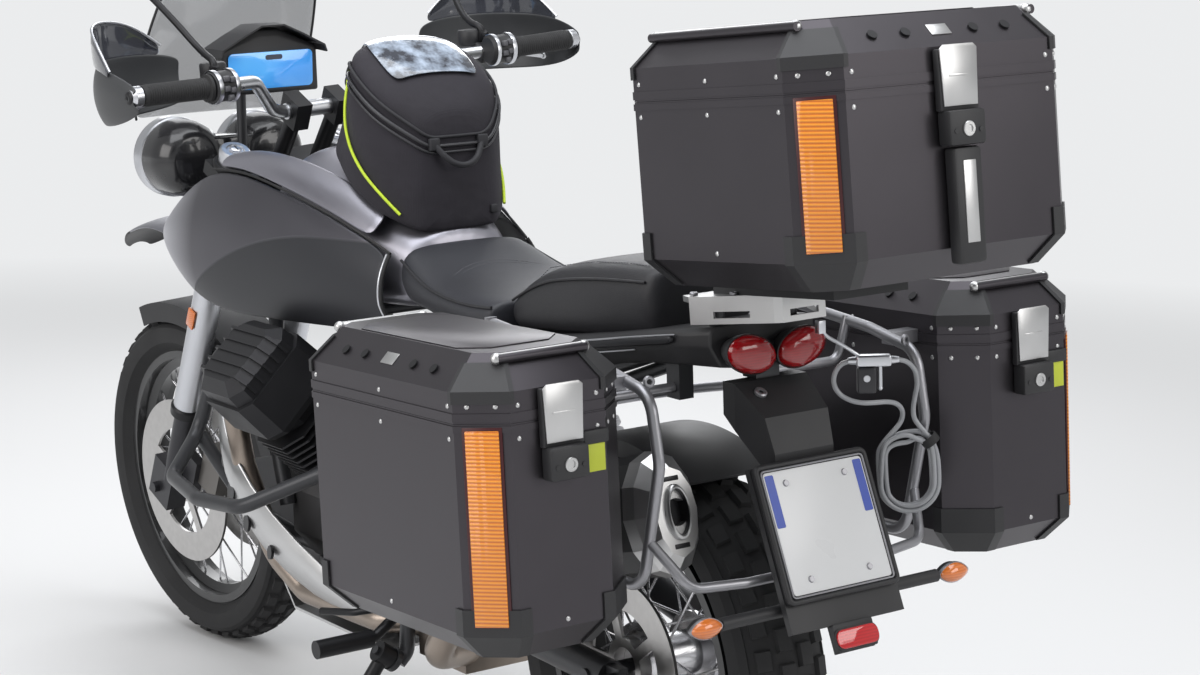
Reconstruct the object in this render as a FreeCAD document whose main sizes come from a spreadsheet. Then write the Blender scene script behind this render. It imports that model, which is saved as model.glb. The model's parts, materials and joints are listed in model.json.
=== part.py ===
import FreeCAD, Part
import math
import os
from types import SimpleNamespace
from FreeCAD import Placement, Rotation, Vector

# Adventure motorcycle with a transverse V-twin, shaft drive and three aluminium cases.
# Bike frame: +X forward, +Y to the rider's left, +Z up, origin on the ground under the
# rear axle with the bike upright.  Lengths are millimetres and angles degrees.

doc = FreeCAD.newDocument("motorcycle")

# Driving dimensions: alias, value
SIZES = (
    # stance
    ("wheelbase", 1530), ("rake", 28), ("trail", 128), ("lean", 3.5), ("steer_turn", 5),
    ("seat_gap", 0.3),
    # wheels
    ("front_tyre_radius", 329), ("front_tyre_width", 112), ("front_bead_radius", 241),
    ("front_rim_width", 76), ("front_hub_radius", 34), ("front_hub_length", 96),
    ("front_disc_radius", 160), ("front_disc_offset", 66), ("front_disc_bore", 104),
    ("rear_tyre_radius", 321), ("rear_tyre_width", 150), ("rear_bead_radius", 216),
    ("rear_rim_width", 120), ("rear_hub_radius", 48), ("rear_hub_length", 120),
    ("rear_disc_radius", 130), ("rear_disc_offset", 76), ("rear_disc_bore", 84),
    ("tyre_wall", 11), ("rim_depth", 16), ("rim_flange", 10), ("rim_wall", 5),
    ("disc_thickness", 5), ("disc_carrier_radius", 42),
    ("spoke_radius", 2), ("spoke_pairs", 8), ("spoke_lace", 3.4), ("axle_radius", 10),
    # front fork, in the fork's own frame along the steering axis
    ("fork_half_spread", 105), ("fork_ahead", 21), ("fork_outer_radius", 27),
    ("fork_inner_radius", 20.5), ("fork_outer_foot", 190), ("fork_top", 767),
    ("yoke_lower", 590), ("yoke_upper", 742), ("yoke_thickness", 26),
    ("stem_radius", 14), ("head_tube_radius", 27),
    ("bar_clamp_ahead", -45), ("bar_clamp_height", 890), ("bar_radius", 14.3),
    ("bar_half_width", 432), ("grip_length", 125), ("grip_radius", 17),
    ("grip_ahead", -160), ("grip_height", 1038), ("bar_half_centre", 86),
    # swingarm, shock and drive
    ("pivot_x", 520), ("pivot_z", 395), ("arm_half_spread", 112), ("arm_radius", 24),
    ("drive_radius", 82), ("drive_length", 62),
    # engine
    ("crank_x", 800), ("crank_z", 420), ("case_length", 330), ("case_half_width", 118),
    ("case_height", 250), ("gearbox_length", 190), ("cylinder_stagger", 22),
    ("cylinder_angle", 45), ("barrel_start", 150), ("barrel_length", 120),
    ("fin_size", 156), ("fin_thickness", 4), ("fin_pitch", 13), ("fin_count", 8),
    ("head_length", 88), ("cover_length", 42),
    # bodywork
    ("tank_rear_x", 545), ("tank_front_x", 1068), ("tank_floor", 772),
    ("seat_half_width", 142), ("seat_rear_x", 236), ("passenger_rear_x", -118),
    ("bag_half_width", 138), ("bag_height", 232),
    # cases
    ("top_x", -449), ("top_length", 417), ("top_width", 440), ("top_foot", 944),
    ("top_depth", 241), ("top_lid_depth", 86), ("top_pitch", 4.7),
    ("side_x", -112), ("side_length", 479), ("side_width", 245), ("side_inner", 276),
    ("side_foot", 478), ("side_depth", 310), ("side_lid_depth", 83), ("side_pitch", 1.6),
    ("case_corner", 52), ("case_foot_cut", 38), ("lid_shoulder_cut", 43), ("case_wall", 2.5),
    ("lid_gap", 0.4), ("rail_radius", 6), ("loop_radius", 3.5),
    # rear end
    ("plate_x", -376), ("plate_z", 592), ("plate_side", 180), ("plate_tilt", 23),
    ("rack_height", 898), ("rack_thickness", 8), ("lip_drop", 30), ("lip_wall", 5),
    ("skid_width", 240), ("skid_thickness", 5),
    # security cable on the right rack
    ("cable_radius", 3.5), ("coil_radius", 10),
    # stand
    ("stand_pivot_x", 600), ("stand_pivot_y", 150), ("stand_pivot_z", 210), ("stand_axis_tilt", 36),
    ("stand_lug", 30),
    ("stand_foot_x", 640), ("stand_foot_y", 268),
)
sheet = doc.addObject("Spreadsheet::Sheet", "sizes")
for row, (alias, value) in enumerate(SIZES, start=1):
    sheet.set("A%d" % row, alias)
    sheet.set("B%d" % row, str(value))
    sheet.setAlias("B%d" % row, alias)
doc.recompute()
s = SimpleNamespace(**{alias: float(sheet.get(alias)) for alias, value in SIZES})

# Axes and frames
RAKE = math.radians(s.rake)
AXIS = Vector(-math.sin(RAKE), 0, math.cos(RAKE))
AHEAD = Vector(math.cos(RAKE), 0, math.sin(RAKE))
FORK_OFFSET = s.front_tyre_radius * math.sin(RAKE) - s.trail * math.cos(RAKE)
FRONT_AXLE = Vector(s.wheelbase, 0, s.front_tyre_radius)
REAR_AXLE = Vector(0, 0, s.rear_tyre_radius)
STEM_FOOT = FRONT_AXLE - AHEAD * FORK_OFFSET
X, Y, Z = Vector(1, 0, 0), Vector(0, 1, 0), Vector(0, 0, 1)
CROWN_SHARE = 0.16
TREAD_SHARE = 0.86
LEAN_SIN, LEAN_COS = math.sin(math.radians(s.lean)), math.cos(math.radians(s.lean))


def crown_radius(width):
    rise, half = CROWN_SHARE * width, TREAD_SHARE * width / 2
    return (half ** 2 + rise ** 2) / (2 * rise)


LIFT = crown_radius(s.rear_tyre_width) * (1 - LEAN_COS)
MID_X = (s.wheelbase + s.front_tyre_radius + s.top_x - s.top_length / 2 - 10) / 2
MID_Y = LEAN_SIN * (s.side_foot + (s.side_depth + s.side_lid_depth) / 2)
LEAN = Placement(Vector(-MID_X, -MID_Y, LIFT), Rotation(X, -s.lean))
STEER = Placement(Vector(), Rotation(AXIS, s.steer_turn), STEM_FOOT)
FORK = LEAN * STEER * Placement(STEM_FOOT, Rotation(Y, -s.rake))


def at(x, y, z, turn=None):
    return LEAN * Placement(Vector(x, y, z), turn or Rotation())


def fork_point(ahead, y, up):
    return STEM_FOOT + AHEAD * ahead + Y * y + AXIS * up


def both(points):
    return [(x, -y, z) for x, y, z in points]


# Helpers for solids made in code
def polygon(points):
    corners = [Vector(*point) for point in points]
    return Part.makePolygon(corners + corners[:1])


def block(x0, x1, y0, y1, z0, z1):
    return Part.makeBox(x1 - x0, y1 - y0, z1 - z0, Vector(x0, y0, z0))


def rod(start, end, radius):
    start, end = Vector(*start), Vector(*end)
    return Part.makeCylinder(radius, (end - start).Length, start, end - start)


def loft(sections):
    return Part.makeLoft([polygon(section) for section in sections], True, True)


def fused(shapes):
    return shapes[0].multiFuse(shapes[1:]).removeSplitter() if len(shapes) > 1 else shapes[0]


# Bent tube: cylinders along the straight runs, joined by tangent rings of a torus
def tube(points, radius, bend=45):
    points = [Vector(*point) for point in points]
    start = points[0]
    ring = Part.makeCircle(radius, start, points[1] - start)
    faces = [Part.Face(Part.Wire(ring.copy()))]
    for before, corner, after in zip(points, points[1:], points[2:]):
        back = (before - corner).normalize()
        onward = (after - corner).normalize()
        turn = math.pi - back.getAngle(onward)
        reach = min(bend * math.tan(turn / 2), 0.45 * (before - corner).Length, 0.45 * (after - corner).Length)
        arc_radius = reach / math.tan(turn / 2)
        centre = corner + (back + onward).normalize() * (arc_radius / math.cos(turn / 2))
        arc_start = corner + back * reach
        faces.append(ring.extrude(arc_start - start))
        ring.translate(arc_start - start)
        hinge = onward.cross(back)
        faces.append(ring.revolve(centre, hinge, math.degrees(turn)))
        ring.rotate(centre, hinge, math.degrees(turn))
        start = corner + onward * reach
    faces.append(ring.extrude(points[-1] - start))
    ring.translate(points[-1] - start)
    faces.append(Part.Face(Part.Wire(ring)))
    shell = Part.makeShell(faces)
    shell.sewShape()
    solid = Part.makeSolid(shell)
    if solid.Volume < 0:
        solid.reverse()
    return solid


# Helpers for document objects
subparts = []


def keep(obj, label, placement):
    obj.Label = label
    obj.Placement = placement
    subparts.append(obj)
    return obj


def feature(label, shapes, placement=LEAN, merge=True):
    obj = doc.addObject("Part::Feature", label)
    obj.Shape = fused(shapes) if merge else Part.makeCompound(shapes)
    return keep(obj, label, placement * obj.Shape.Placement)


def origin_part(body, role):
    return next(f for f in body.Origin.OriginFeatures if f.Role == role)


# Sketch from corners (x, y); a corner with four numbers is reached by an arc through the first two
def sketch_on(body, role, outlines, name):
    sketch = body.newObject("Sketcher::SketchObject", name)
    sketch.AttachmentSupport = (origin_part(body, role), [""])
    sketch.MapMode = "FlatFace"
    for outline in outlines:
        last = Vector(outline[-1][-2], outline[-1][-1], 0)
        for corner in outline:
            end = Vector(corner[-2], corner[-1], 0)
            if len(corner) == 4:
                sketch.addGeometry(Part.Arc(last, Vector(corner[0], corner[1], 0), end), False)
            else:
                sketch.addGeometry(Part.LineSegment(last, end), False)
            last = end
    return sketch


def body_named(label):
    return doc.addObject("PartDesign::Body", label)


def turned(label, outline, placement):
    body = body_named(label)
    sketch = sketch_on(body, "XY_Plane", [outline], label + "_profile")
    turn = body.newObject("PartDesign::Revolution", label + "_turn")
    turn.Profile = sketch
    turn.ReferenceAxis = (sketch, ["V_Axis"])
    turn.Angle = 360
    sketch.Visibility = False
    return keep(body, label, placement)


def pad_of(body, role, outlines, length, name, midplane=True, reverse=False):
    sketch = sketch_on(body, role, outlines, name + "_sketch")
    pad = body.newObject("PartDesign::Pad", name)
    pad.Profile = sketch
    pad.Midplane = midplane
    pad.Reversed = reverse
    pad.setExpression("Length", length)
    return pad


def padded(label, role, outlines, length, placement, midplane=True, reverse=False):
    body = body_named(label)
    pad_of(body, role, outlines, length, label + "_pad", midplane, reverse)
    return keep(body, label, placement)


# Wheels
def tyre_outline(radius, width, bead, rim_width):
    half, wall = width / 2, s.tyre_wall
    shoulder, tread = radius - CROWN_SHARE * width, TREAD_SHARE * half
    belly = bead + 0.6 * (shoulder - bead)
    seat = rim_width / 2 - s.rim_wall - s.seat_gap
    lip = bead + s.rim_flange + 2
    round_radius = crown_radius(width)
    crown = [(radius - round_radius + math.sqrt(round_radius ** 2 - y * y), y)
             for y in (0.62 * tread, round_radius * LEAN_SIN)]
    side = [(bead, seat), (lip, seat), (belly, half), (shoulder, tread)] + crown
    inner = [(bead, seat - wall), (lip, seat - wall), (belly, half - wall), (shoulder - wall, tread - wall),
             (radius - wall - 4, 0.3 * tread)]
    outline = side + [(r, -y) for r, y in reversed(side)]
    return outline + [(r, -y) for r, y in inner] + list(reversed(inner))


def rim_outline(bead, width):
    half, wall, seat = width / 2, s.rim_wall, bead - s.seat_gap
    well = seat - s.rim_depth
    return [
        (seat + s.rim_flange, half), (seat + s.rim_flange, half - wall), (seat, half - wall), (seat, 0.42 * half),
        (well, 0.3 * half), (well, -0.3 * half), (seat, -0.42 * half), (seat, -half + wall),
        (seat + s.rim_flange, -half + wall), (seat + s.rim_flange, -half), (seat - wall, -half),
        (seat - wall, -0.5 * half), (well - wall, -0.3 * half), (well - wall, 0.3 * half),
        (seat - wall, 0.5 * half), (seat - wall, half),
    ]


def spoked_hub(label, bead, hub_radius, hub_length, placement):
    half = hub_length / 2
    flange, flange_thickness = hub_radius + 12, 8
    reach = bead - s.rim_depth - s.rim_wall - 4 * s.seat_gap
    core = polygon([
        (s.axle_radius + s.seat_gap, half, 0), (0.8 * hub_radius, half, 0),
        (hub_radius, half - 8, 0), (flange, half - 8, 0), (flange, half - 8 - flange_thickness, 0),
        (0.7 * hub_radius, half - 20, 0), (0.7 * hub_radius, -half + 20, 0),
        (flange, -half + 8 + flange_thickness, 0), (flange, -half + 8, 0),
        (hub_radius, -half + 8, 0), (0.8 * hub_radius, -half, 0), (s.axle_radius + s.seat_gap, -half, 0),
    ])
    solids = [Part.Face(core).revolve(Vector(), Y, 360)]
    lace = half - 8 - flange_thickness / 2
    count = int(s.spoke_pairs)
    for k in range(4 * count):
        side = 1 if k % 2 else -1
        sweep = 1 if (k // 2) % 2 else -1
        angle = 2 * math.pi * k / (4 * count)
        start_angle = angle + sweep * math.radians(38)
        start = Vector((flange - 4) * math.cos(start_angle), side * lace + sweep * s.spoke_lace,
                       (flange - 4) * math.sin(start_angle))
        end = Vector(reach * math.cos(angle), side * 4, reach * math.sin(angle))
        solids.append(rod(start, end, s.spoke_radius))
    return feature(label, solids, placement)


def brake_disc(label, radius, bore, hub_length, offsets, placement):
    solids = []
    for offset in offsets:
        side = math.copysign(1, offset)
        low = offset - s.disc_thickness / 2
        ring = Part.makeCylinder(radius, s.disc_thickness, Vector(0, low, 0), Y)
        ring = ring.cut(Part.makeCylinder(bore, s.disc_thickness, Vector(0, low, 0), Y))
        arms = [block(0, bore + 6, low, low + s.disc_thickness, -9, 9) for k in range(5)]
        for k, arm in enumerate(arms):
            arm.rotate(Vector(), Y, 72 * k)
        seat = Vector(0, side * (hub_length / 2 + s.seat_gap), 0)
        reach = abs(offset) + s.disc_thickness / 2 - abs(seat.y)
        carrier = Part.makeCylinder(s.disc_carrier_radius, reach, seat, Y * side)
        hole = Part.makeCylinder(s.disc_carrier_radius - 14, reach, seat, Y * side)
        solids.append(fused([ring, carrier] + arms).cut(hole))
    return feature(label, solids, placement, merge=False)


front_hub_place = FORK * Placement(Vector(FORK_OFFSET, 0, 0), Rotation())
rear_hub_place = at(0, 0, s.rear_tyre_radius)
turned("front_tyre", tyre_outline(s.front_tyre_radius, s.front_tyre_width, s.front_bead_radius,
                                  s.front_rim_width), front_hub_place)
turned("front_rim", rim_outline(s.front_bead_radius, s.front_rim_width), front_hub_place)
spoked_hub("front_hub", s.front_bead_radius, s.front_hub_radius, s.front_hub_length, front_hub_place)
brake_disc("front_discs", s.front_disc_radius, s.front_disc_bore, s.front_hub_length,
           (s.front_disc_offset, -s.front_disc_offset), front_hub_place)
turned("rear_tyre", tyre_outline(s.rear_tyre_radius, s.rear_tyre_width, s.rear_bead_radius,
                                 s.rear_rim_width), rear_hub_place)
turned("rear_rim", rim_outline(s.rear_bead_radius, s.rear_rim_width), rear_hub_place)
spoked_hub("rear_hub", s.rear_bead_radius, s.rear_hub_radius, s.rear_hub_length, rear_hub_place)
brake_disc("rear_disc", s.rear_disc_radius, s.rear_disc_bore, s.rear_hub_length,
           (s.rear_disc_offset,), rear_hub_place)

# Front fork: local x ahead of the steering axis, y left, z up along it
def fork_pair(shape):
    return [shape, shape.mirror(Vector(), Y)]


spread, ahead = s.fork_half_spread, s.fork_ahead
outers = []
for side in (1, -1):
    outer = Part.makeCylinder(s.fork_outer_radius, s.fork_top - s.fork_outer_foot,
                              Vector(ahead, side * spread, s.fork_outer_foot))
    bore = Part.makeCylinder(s.fork_inner_radius + s.seat_gap, 90, Vector(ahead, side * spread, s.fork_outer_foot))
    outers.append(outer.cut(bore))
feature("fork_outers", outers, FORK, merge=False)

CALIPER_FRONT = -42
inner_top = s.fork_outer_foot + 80
lowers = [rod((FORK_OFFSET, -spread - 30, 0), (FORK_OFFSET, spread + 30, 0), s.axle_radius)]
for side in (1, -1):
    leg_y = side * spread
    lowers.append(rod((ahead, leg_y, 30), (ahead, leg_y, inner_top), s.fork_inner_radius))
    lowers.append(block(ahead - 24, FORK_OFFSET + 26, leg_y - 20, leg_y + 20, -26, 60))
    lowers.append(block(CALIPER_FRONT + s.seat_gap, ahead - 20, leg_y - side * 12 - 10, leg_y - side * 12 + 10,
                        20, 110))
feature("fork_lowers", lowers, FORK)

calipers = []
for side in (1, -1):
    grip_y = side * s.front_disc_offset
    body = block(CALIPER_FRONT - 62, CALIPER_FRONT, grip_y - 27, grip_y + 27, 66, 156)
    slot = Part.makeCylinder(s.front_disc_radius + 4, 12, Vector(FORK_OFFSET, grip_y - 6, 0), Y)
    calipers.append(body.cut(slot))
feature("front_calipers", calipers, FORK, merge=False)

yokes = []
for height in (s.yoke_lower, s.yoke_upper):
    edge = spread + s.fork_outer_radius + 9
    plate = loft([[(-30, -40, z), (-30, 40, z), (ahead - 22, edge, z), (ahead + 34, edge, z),
                   (ahead + 30, 0, z), (ahead + 34, -edge, z), (ahead - 22, -edge, z)]
                  for z in (height - s.yoke_thickness, height)])
    for side in (1, -1):
        clear = Part.makeCylinder(s.fork_outer_radius + s.seat_gap, 80, Vector(ahead, side * spread, height - 50))
        plate = plate.cut(clear)
    yokes.append(plate)
clamp_holes = []
yokes.append(rod((0, 0, s.yoke_lower - 10), (0, 0, s.yoke_upper), s.stem_radius))
for side in (1, -1):
    yokes.append(rod((-18, side * 42, s.yoke_upper - 4),
                     (s.bar_clamp_ahead, side * 42, s.bar_clamp_height - s.bar_radius - 2), 15))
    clamp = block(s.bar_clamp_ahead - 26, s.bar_clamp_ahead + 26, side * 42 - 15, side * 42 + 15,
                  s.bar_clamp_height - 26, s.bar_clamp_height + 24)
    hole = rod((s.bar_clamp_ahead, side * 42 - 20, s.bar_clamp_height),
               (s.bar_clamp_ahead, side * 42 + 20, s.bar_clamp_height), s.bar_radius + s.seat_gap)
    yokes.append(clamp)
    clamp_holes.append(hole)
feature("fork_yokes", [fused(yokes).cut(Part.makeCompound(clamp_holes))], FORK)

grip_start = s.bar_half_width - s.grip_length
bar_rise = s.grip_height - s.bar_clamp_height
bar_half = [
    (s.bar_clamp_ahead, s.bar_half_centre, s.bar_clamp_height),
    (s.bar_clamp_ahead - 38, 165, s.bar_clamp_height + 0.65 * bar_rise),
    (s.grip_ahead, grip_start, s.grip_height),
    (s.grip_ahead, s.bar_half_width - 2, s.grip_height + 2),
]
bar_route = list(reversed(both(bar_half))) + bar_half
bar_clear = tube(bar_route, s.bar_radius - 3 + s.seat_gap, 60)
feature("handlebar", [tube(bar_route, s.bar_radius - 3, 60).fuse(
    rod((s.bar_clamp_ahead, -62, s.bar_clamp_height), (s.bar_clamp_ahead, 62, s.bar_clamp_height), s.bar_radius))],
        FORK)

controls = []
for side in (1, -1):
    inner = (s.grip_ahead, side * grip_start, s.grip_height)
    outer = (s.grip_ahead, side * s.bar_half_width, s.grip_height + 2)
    sleeve = rod(inner, outer, s.grip_radius)
    pod = rod((s.grip_ahead + 4, side * (grip_start - 66), s.grip_height - 1),
              (s.grip_ahead, side * grip_start, s.grip_height), 25)
    perch = block(s.grip_ahead + 8, s.grip_ahead + 52, min(side * (grip_start - 50), side * (grip_start - 22)),
                  max(side * (grip_start - 50), side * (grip_start - 22)), s.grip_height - 34, s.grip_height - 4)
    lever = tube([(s.grip_ahead + 40, side * (grip_start - 36), s.grip_height - 24),
                  (s.grip_ahead + 68, side * (grip_start + 30), s.grip_height - 36),
                  (s.grip_ahead + 62, side * (s.bar_half_width - 8), s.grip_height - 66)], 6, 60)
    controls.append(fused([sleeve, pod, perch, lever]).cut(bar_clear))
feature("hand_controls", controls, FORK, merge=False)


# A place in the fork's frame, given as level offsets from the grip's inner end
def by_grip(side, forward, y, up):
    return Vector(s.grip_ahead + forward * math.cos(RAKE) + up * math.sin(RAKE), side * y,
                  s.grip_height - forward * math.sin(RAKE) + up * math.cos(RAKE))


# Guard wall: forward, y, share of outward offset forward and sideways
guards = []
for side in (1, -1):
    path = ((-6, s.bar_half_width + 16, 0, 1), (150, s.bar_half_width + 6, 0.4, 0.9),
            (205, grip_start + 20, 1, 0.2), (196, grip_start - 60, 1, 0))
    sections = [[tuple(by_grip(side, forward + f, y + g, up)) for f, g, up in
                 ((0, 0, -46), (5 * nx, 5 * ny, -46), (5 * nx, 5 * ny, 44), (0, 0, 44))]
                for forward, y, nx, ny in path]
    end_plate = rod((s.grip_ahead, side * (s.bar_half_width + s.seat_gap), s.grip_height + 2),
                    (s.grip_ahead, side * (s.bar_half_width + 20), s.grip_height + 2), 15)
    guards.append(fused([loft(sections), end_plate]))
feature("hand_guards", guards, FORK, merge=False)

# Mirrors on stems from the control pods
mirrors = []
for side in (1, -1):
    root = (s.grip_ahead + 43, side * (grip_start - 34), s.grip_height - 3.7)
    stem = tube([root, (root[0], root[1], root[2] + 24), by_grip(side, 80, grip_start - 40, 50),
                 by_grip(side, 150, grip_start - 20, 118), by_grip(side, 196, grip_start + 12, 176)], 6, 40)
    head = loft([[tuple(by_grip(side, 186 + x, grip_start + 24 + y, 196 + z))
                  for y, z in ((-78, -28), (-60, -44), (58, -32), (74, -4), (60, 34), (-50, 40), (-76, 20))]
                 for x in (0, 24)])
    mirrors.append(fused([stem, head]))
feature("mirrors", mirrors, FORK, merge=False)

# Channel bent round a wheel's axis, from one angle on towards the rear
def arc_guard(radius, half, drop, first, sweep):
    channel = polygon([(radius + 4, -half, 0), (radius + 4, half, 0), (radius - drop, half, 0),
                       (radius - drop, half - 3, 0), (radius, half - 3, 0), (radius, 3 - half, 0),
                       (radius - drop, 3 - half, 0), (radius - drop, -half, 0)])
    shape = Part.Face(channel).revolve(Vector(), Y * -1, sweep)
    shape.rotate(Vector(), Y * -1, first)
    return shape


# Low mudguard over the front tyre, carried by the fork legs
guard_radius = s.front_tyre_radius + 17
guard_half = s.front_tyre_width / 2 + 7
guard_parts = [arc_guard(guard_radius, guard_half, 34, 42, 115)]
for side in (1, -1):
    stay_y0, stay_y1 = sorted((side * (guard_half - 2), side * (spread - s.fork_outer_radius - s.seat_gap)))
    guard_parts.append(block(-45, 5, stay_y0, stay_y1, guard_radius - 30, guard_radius - 10))
mudguard = fused(guard_parts)
mudguard.translate(Vector(FORK_OFFSET, 0, 0))
feature("front_mudguard", [mudguard], FORK)

# Places shared between the frame and what it carries
FRAME_LUG_X, FRAME_LUG_Y = 955, s.case_half_width + 14 + s.seat_gap
RACK_TAB_Y, SHOCK_Y = 84, 142
LAMP_X = s.wheelbase - 175
DASH_FRONT_X = 1262
SCREEN_SEAT_X = 1425.2
RACK_X, TAIL_END_X, HOLDER_TOP = -330, -262, 778

# Beak over the front wheel: x, half width, ridge height less 14
BEAK = ((1395, 80, 788), (1500, 98, 826), (1640, 88, 812), (1760, 58, 782), (1824, 30, 750))
BEAK_RIDGE, BEAK_WALL = 16, 9
beak = loft([[(x, -w, z - 10), (x, -0.6 * w, z + 6), (x, 0, z + BEAK_RIDGE), (x, 0.6 * w, z + 6), (x, w, z - 10),
              (x, w, z - 10 - BEAK_WALL), (x, 0.6 * w, z + 6 - BEAK_WALL), (x, 0, z + BEAK_RIDGE - BEAK_WALL),
              (x, -0.6 * w, z + 6 - BEAK_WALL), (x, -w, z - 10 - BEAK_WALL)] for x, w, z in BEAK])
feature("beak", [beak])

rack_place = at(RACK_X, 0, s.rack_height, Rotation(Y, s.top_pitch))

# Frame: head tube, spine loops, rear subframe and footpeg plates in one welded piece
head_low = fork_point(0, 0, s.yoke_lower + 2)
head_high = fork_point(0, 0, s.yoke_upper - s.yoke_thickness - 2)
frame_shapes = [rod(head_low, head_high, s.head_tube_radius)]
neck = fork_point(-10, 0, s.yoke_lower + 40)
RAIL_RADIUS, SEAT_RAIL_RADIUS = 16, 13
rail_z = s.tank_floor - RAIL_RADIUS - s.seat_gap
tail_x, tail_z = s.plate_x + 150, 826
seat_rail_x, seat_rail_z = 260, 770
post_x, post_y = s.pivot_x + 64, 108
plate_y = (88, 95)
knee = fork_point(-78, 0, s.yoke_lower + 12)
for side in (1, -1):
    y0, y1 = sorted((side * plate_y[0], side * plate_y[1]))
    frame_shapes += [
        tube([(neck.x, side * 12, neck.z), (neck.x - 110, side * 46, rail_z), (760, side * 62, rail_z),
              (post_x, side * 99, 690), (post_x, side * post_y, s.pivot_z - 90)], RAIL_RADIUS, 60),
        tube([fork_point(0, side * 10, s.yoke_lower + 26), (knee.x, side * 34, knee.z), (1075, side * 80, 650),
              (1000, side * 130, 540), (FRAME_LUG_X, side * FRAME_LUG_Y, 395)], 14, 60),
        tube([(post_x - 10, side * 96, 690), (seat_rail_x, side * 92, seat_rail_z), (tail_x, side * 62, tail_z)],
             SEAT_RAIL_RADIUS, 90),
        tube([(post_x - 6, side * 98, 462), (230, side * 96, 690), (-120, side * 74, 806)], 11, 60),
        block(s.pivot_x - 34, post_x + 10, y0, y1, s.pivot_z - 110, s.pivot_z + 70),
        block(-165, -135, min(side * 60, side * RACK_TAB_Y), max(side * 60, side * RACK_TAB_Y), 744, 815),
        rod((tail_x, side * 62, tail_z), (tail_x, side * 62, s.rack_height + 20), 11),
    ]
frame_shapes += [
    rod((760, -64, rail_z), (760, 64, rail_z), 13), rod((seat_rail_x, -92, seat_rail_z), (seat_rail_x, 92, seat_rail_z), 11),
    rod((tail_x, -64, tail_z), (tail_x, 64, tail_z), 11),
    block(TAIL_END_X + 6, tail_x, -20, 20, HOLDER_TOP + s.seat_gap, tail_z),
    block(405, 435, -112, -88, 640, 740), rod((420, -SHOCK_Y - 30, 660), (420, -100, 660), 8),
]
# front bracket between the fork legs, with arms to the dash, the screen and the beak
beam = fork_point(150, 0, s.yoke_lower + 56)
frame_shapes += [
    tube([fork_point(15, 0, s.yoke_lower + 60), beam, (LAMP_X - s.seat_gap, 0, beam.z)], 18, 20),
    tube([(beam.x + 8, 0, beam.z), (beam.x, 0, 1090), (DASH_FRONT_X + 34, 0, 1140),
          (DASH_FRONT_X + s.seat_gap, 0, 1140)], 9, 15),
    rod((beam.x, 0, 1096), (SCREEN_SEAT_X, 0, 1096), 9),
    tube([(beam.x + 8, 0, beam.z), (beam.x + 12, 0, 858), (1430, 0, 850), (1430, 0, 812)], 9, 12),
]
# side-stand bracket with its pin along the stand's axis
stand_pivot = Vector(s.stand_pivot_x, s.stand_pivot_y, s.stand_pivot_z)
stand_axis = Vector(0, math.cos(math.radians(s.stand_axis_tilt)), math.sin(math.radians(s.stand_axis_tilt)))
stand_seat = stand_pivot - stand_axis * (s.stand_lug / 2 + s.seat_gap)
frame_shapes += [
    Part.makeCylinder(20, 10, stand_seat - stand_axis * 10, stand_axis),
    Part.makeCylinder(7, s.stand_lug + 10, stand_seat - stand_axis * 5, stand_axis),
    tube([stand_seat - stand_axis * 17, (s.stand_pivot_x, 107, 207), (post_x, 106, 320)], 13, 20),
]
beak_clear = beak.copy()
beak_clear.translate(Z * 2 * s.seat_gap)
rack_clear = block(-180, 160, -120, 120, -s.seat_gap, 80)
rack_clear.Placement = LEAN.inverse() * rack_place
frame_solid = fused(frame_shapes).cut(beak_clear).cut(rack_clear)
frame_solid = frame_solid.cut(rod(fork_point(0, 0, s.yoke_lower - 20), fork_point(0, 0, s.yoke_upper + 20),
                                  s.stem_radius + s.seat_gap))
feature("frame", [frame_solid])

# Engine and gearbox as one heavy block, with the round front cover and the sump
half_case = s.case_half_width
x0, x1 = s.crank_x - s.case_length / 2, s.crank_x + s.case_length / 2
z0, z1 = s.crank_z - s.case_height / 2, s.crank_z + s.case_height / 2
sump_foot = z0 - 62
crankcase = loft([[(x, -half_case, z0 + 50), (x, -half_case + 40, z0), (x, half_case - 40, z0),
                   (x, half_case, z0 + 50), (x, half_case, s.crank_z), (x, 0.45 * half_case, z1),
                   (x, -0.45 * half_case, z1), (x, -half_case, s.crank_z)] for x in (x0, x1)])
cover = Part.makeCylinder(104, 42, Vector(x1, 0, s.crank_z), X)
sump = loft([[(x0 + 56, -82, z), (x1 - 20, -82, z), (x1 - 20, 82, z), (x0 + 56, 82, z)] for z in (sump_foot, z0)])
box_x = x0 - s.gearbox_length
gearbox = loft([[(x, -w, s.pivot_z - 92), (x, w, s.pivot_z - 92), (x, w, s.pivot_z + 60),
                 (x, 0.5 * w, s.pivot_z + 96), (x, -0.5 * w, s.pivot_z + 96), (x, -w, s.pivot_z + 60)]
                for x, w in ((box_x, 78), (post_x + 12, 86), (x0, 100))])


def barrel_place(side, start):
    turn = Rotation(X, -side * s.cylinder_angle)
    return Placement(Vector(s.crank_x + side * s.cylinder_stagger, 0, s.crank_z) + turn.multVec(Z) * start, turn)


decks = []
for side in (1, -1):
    deck = block(-66, 66, -60, 60, 20, s.barrel_start)
    deck.Placement = barrel_place(side, 0)
    decks.append(deck)
SKID_GAP = 34
skid_low = sump_foot - SKID_GAP
bosses = [rod((x, y, sump_foot + 2), (x, y, skid_low + s.skid_thickness + s.seat_gap), 9)
          for x in (x0 + 80, x1 - 60) for y in (-60, 60)]
feature("engine_block", [fused([crankcase, cover, sump, gearbox] + decks + bosses)])

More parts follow.
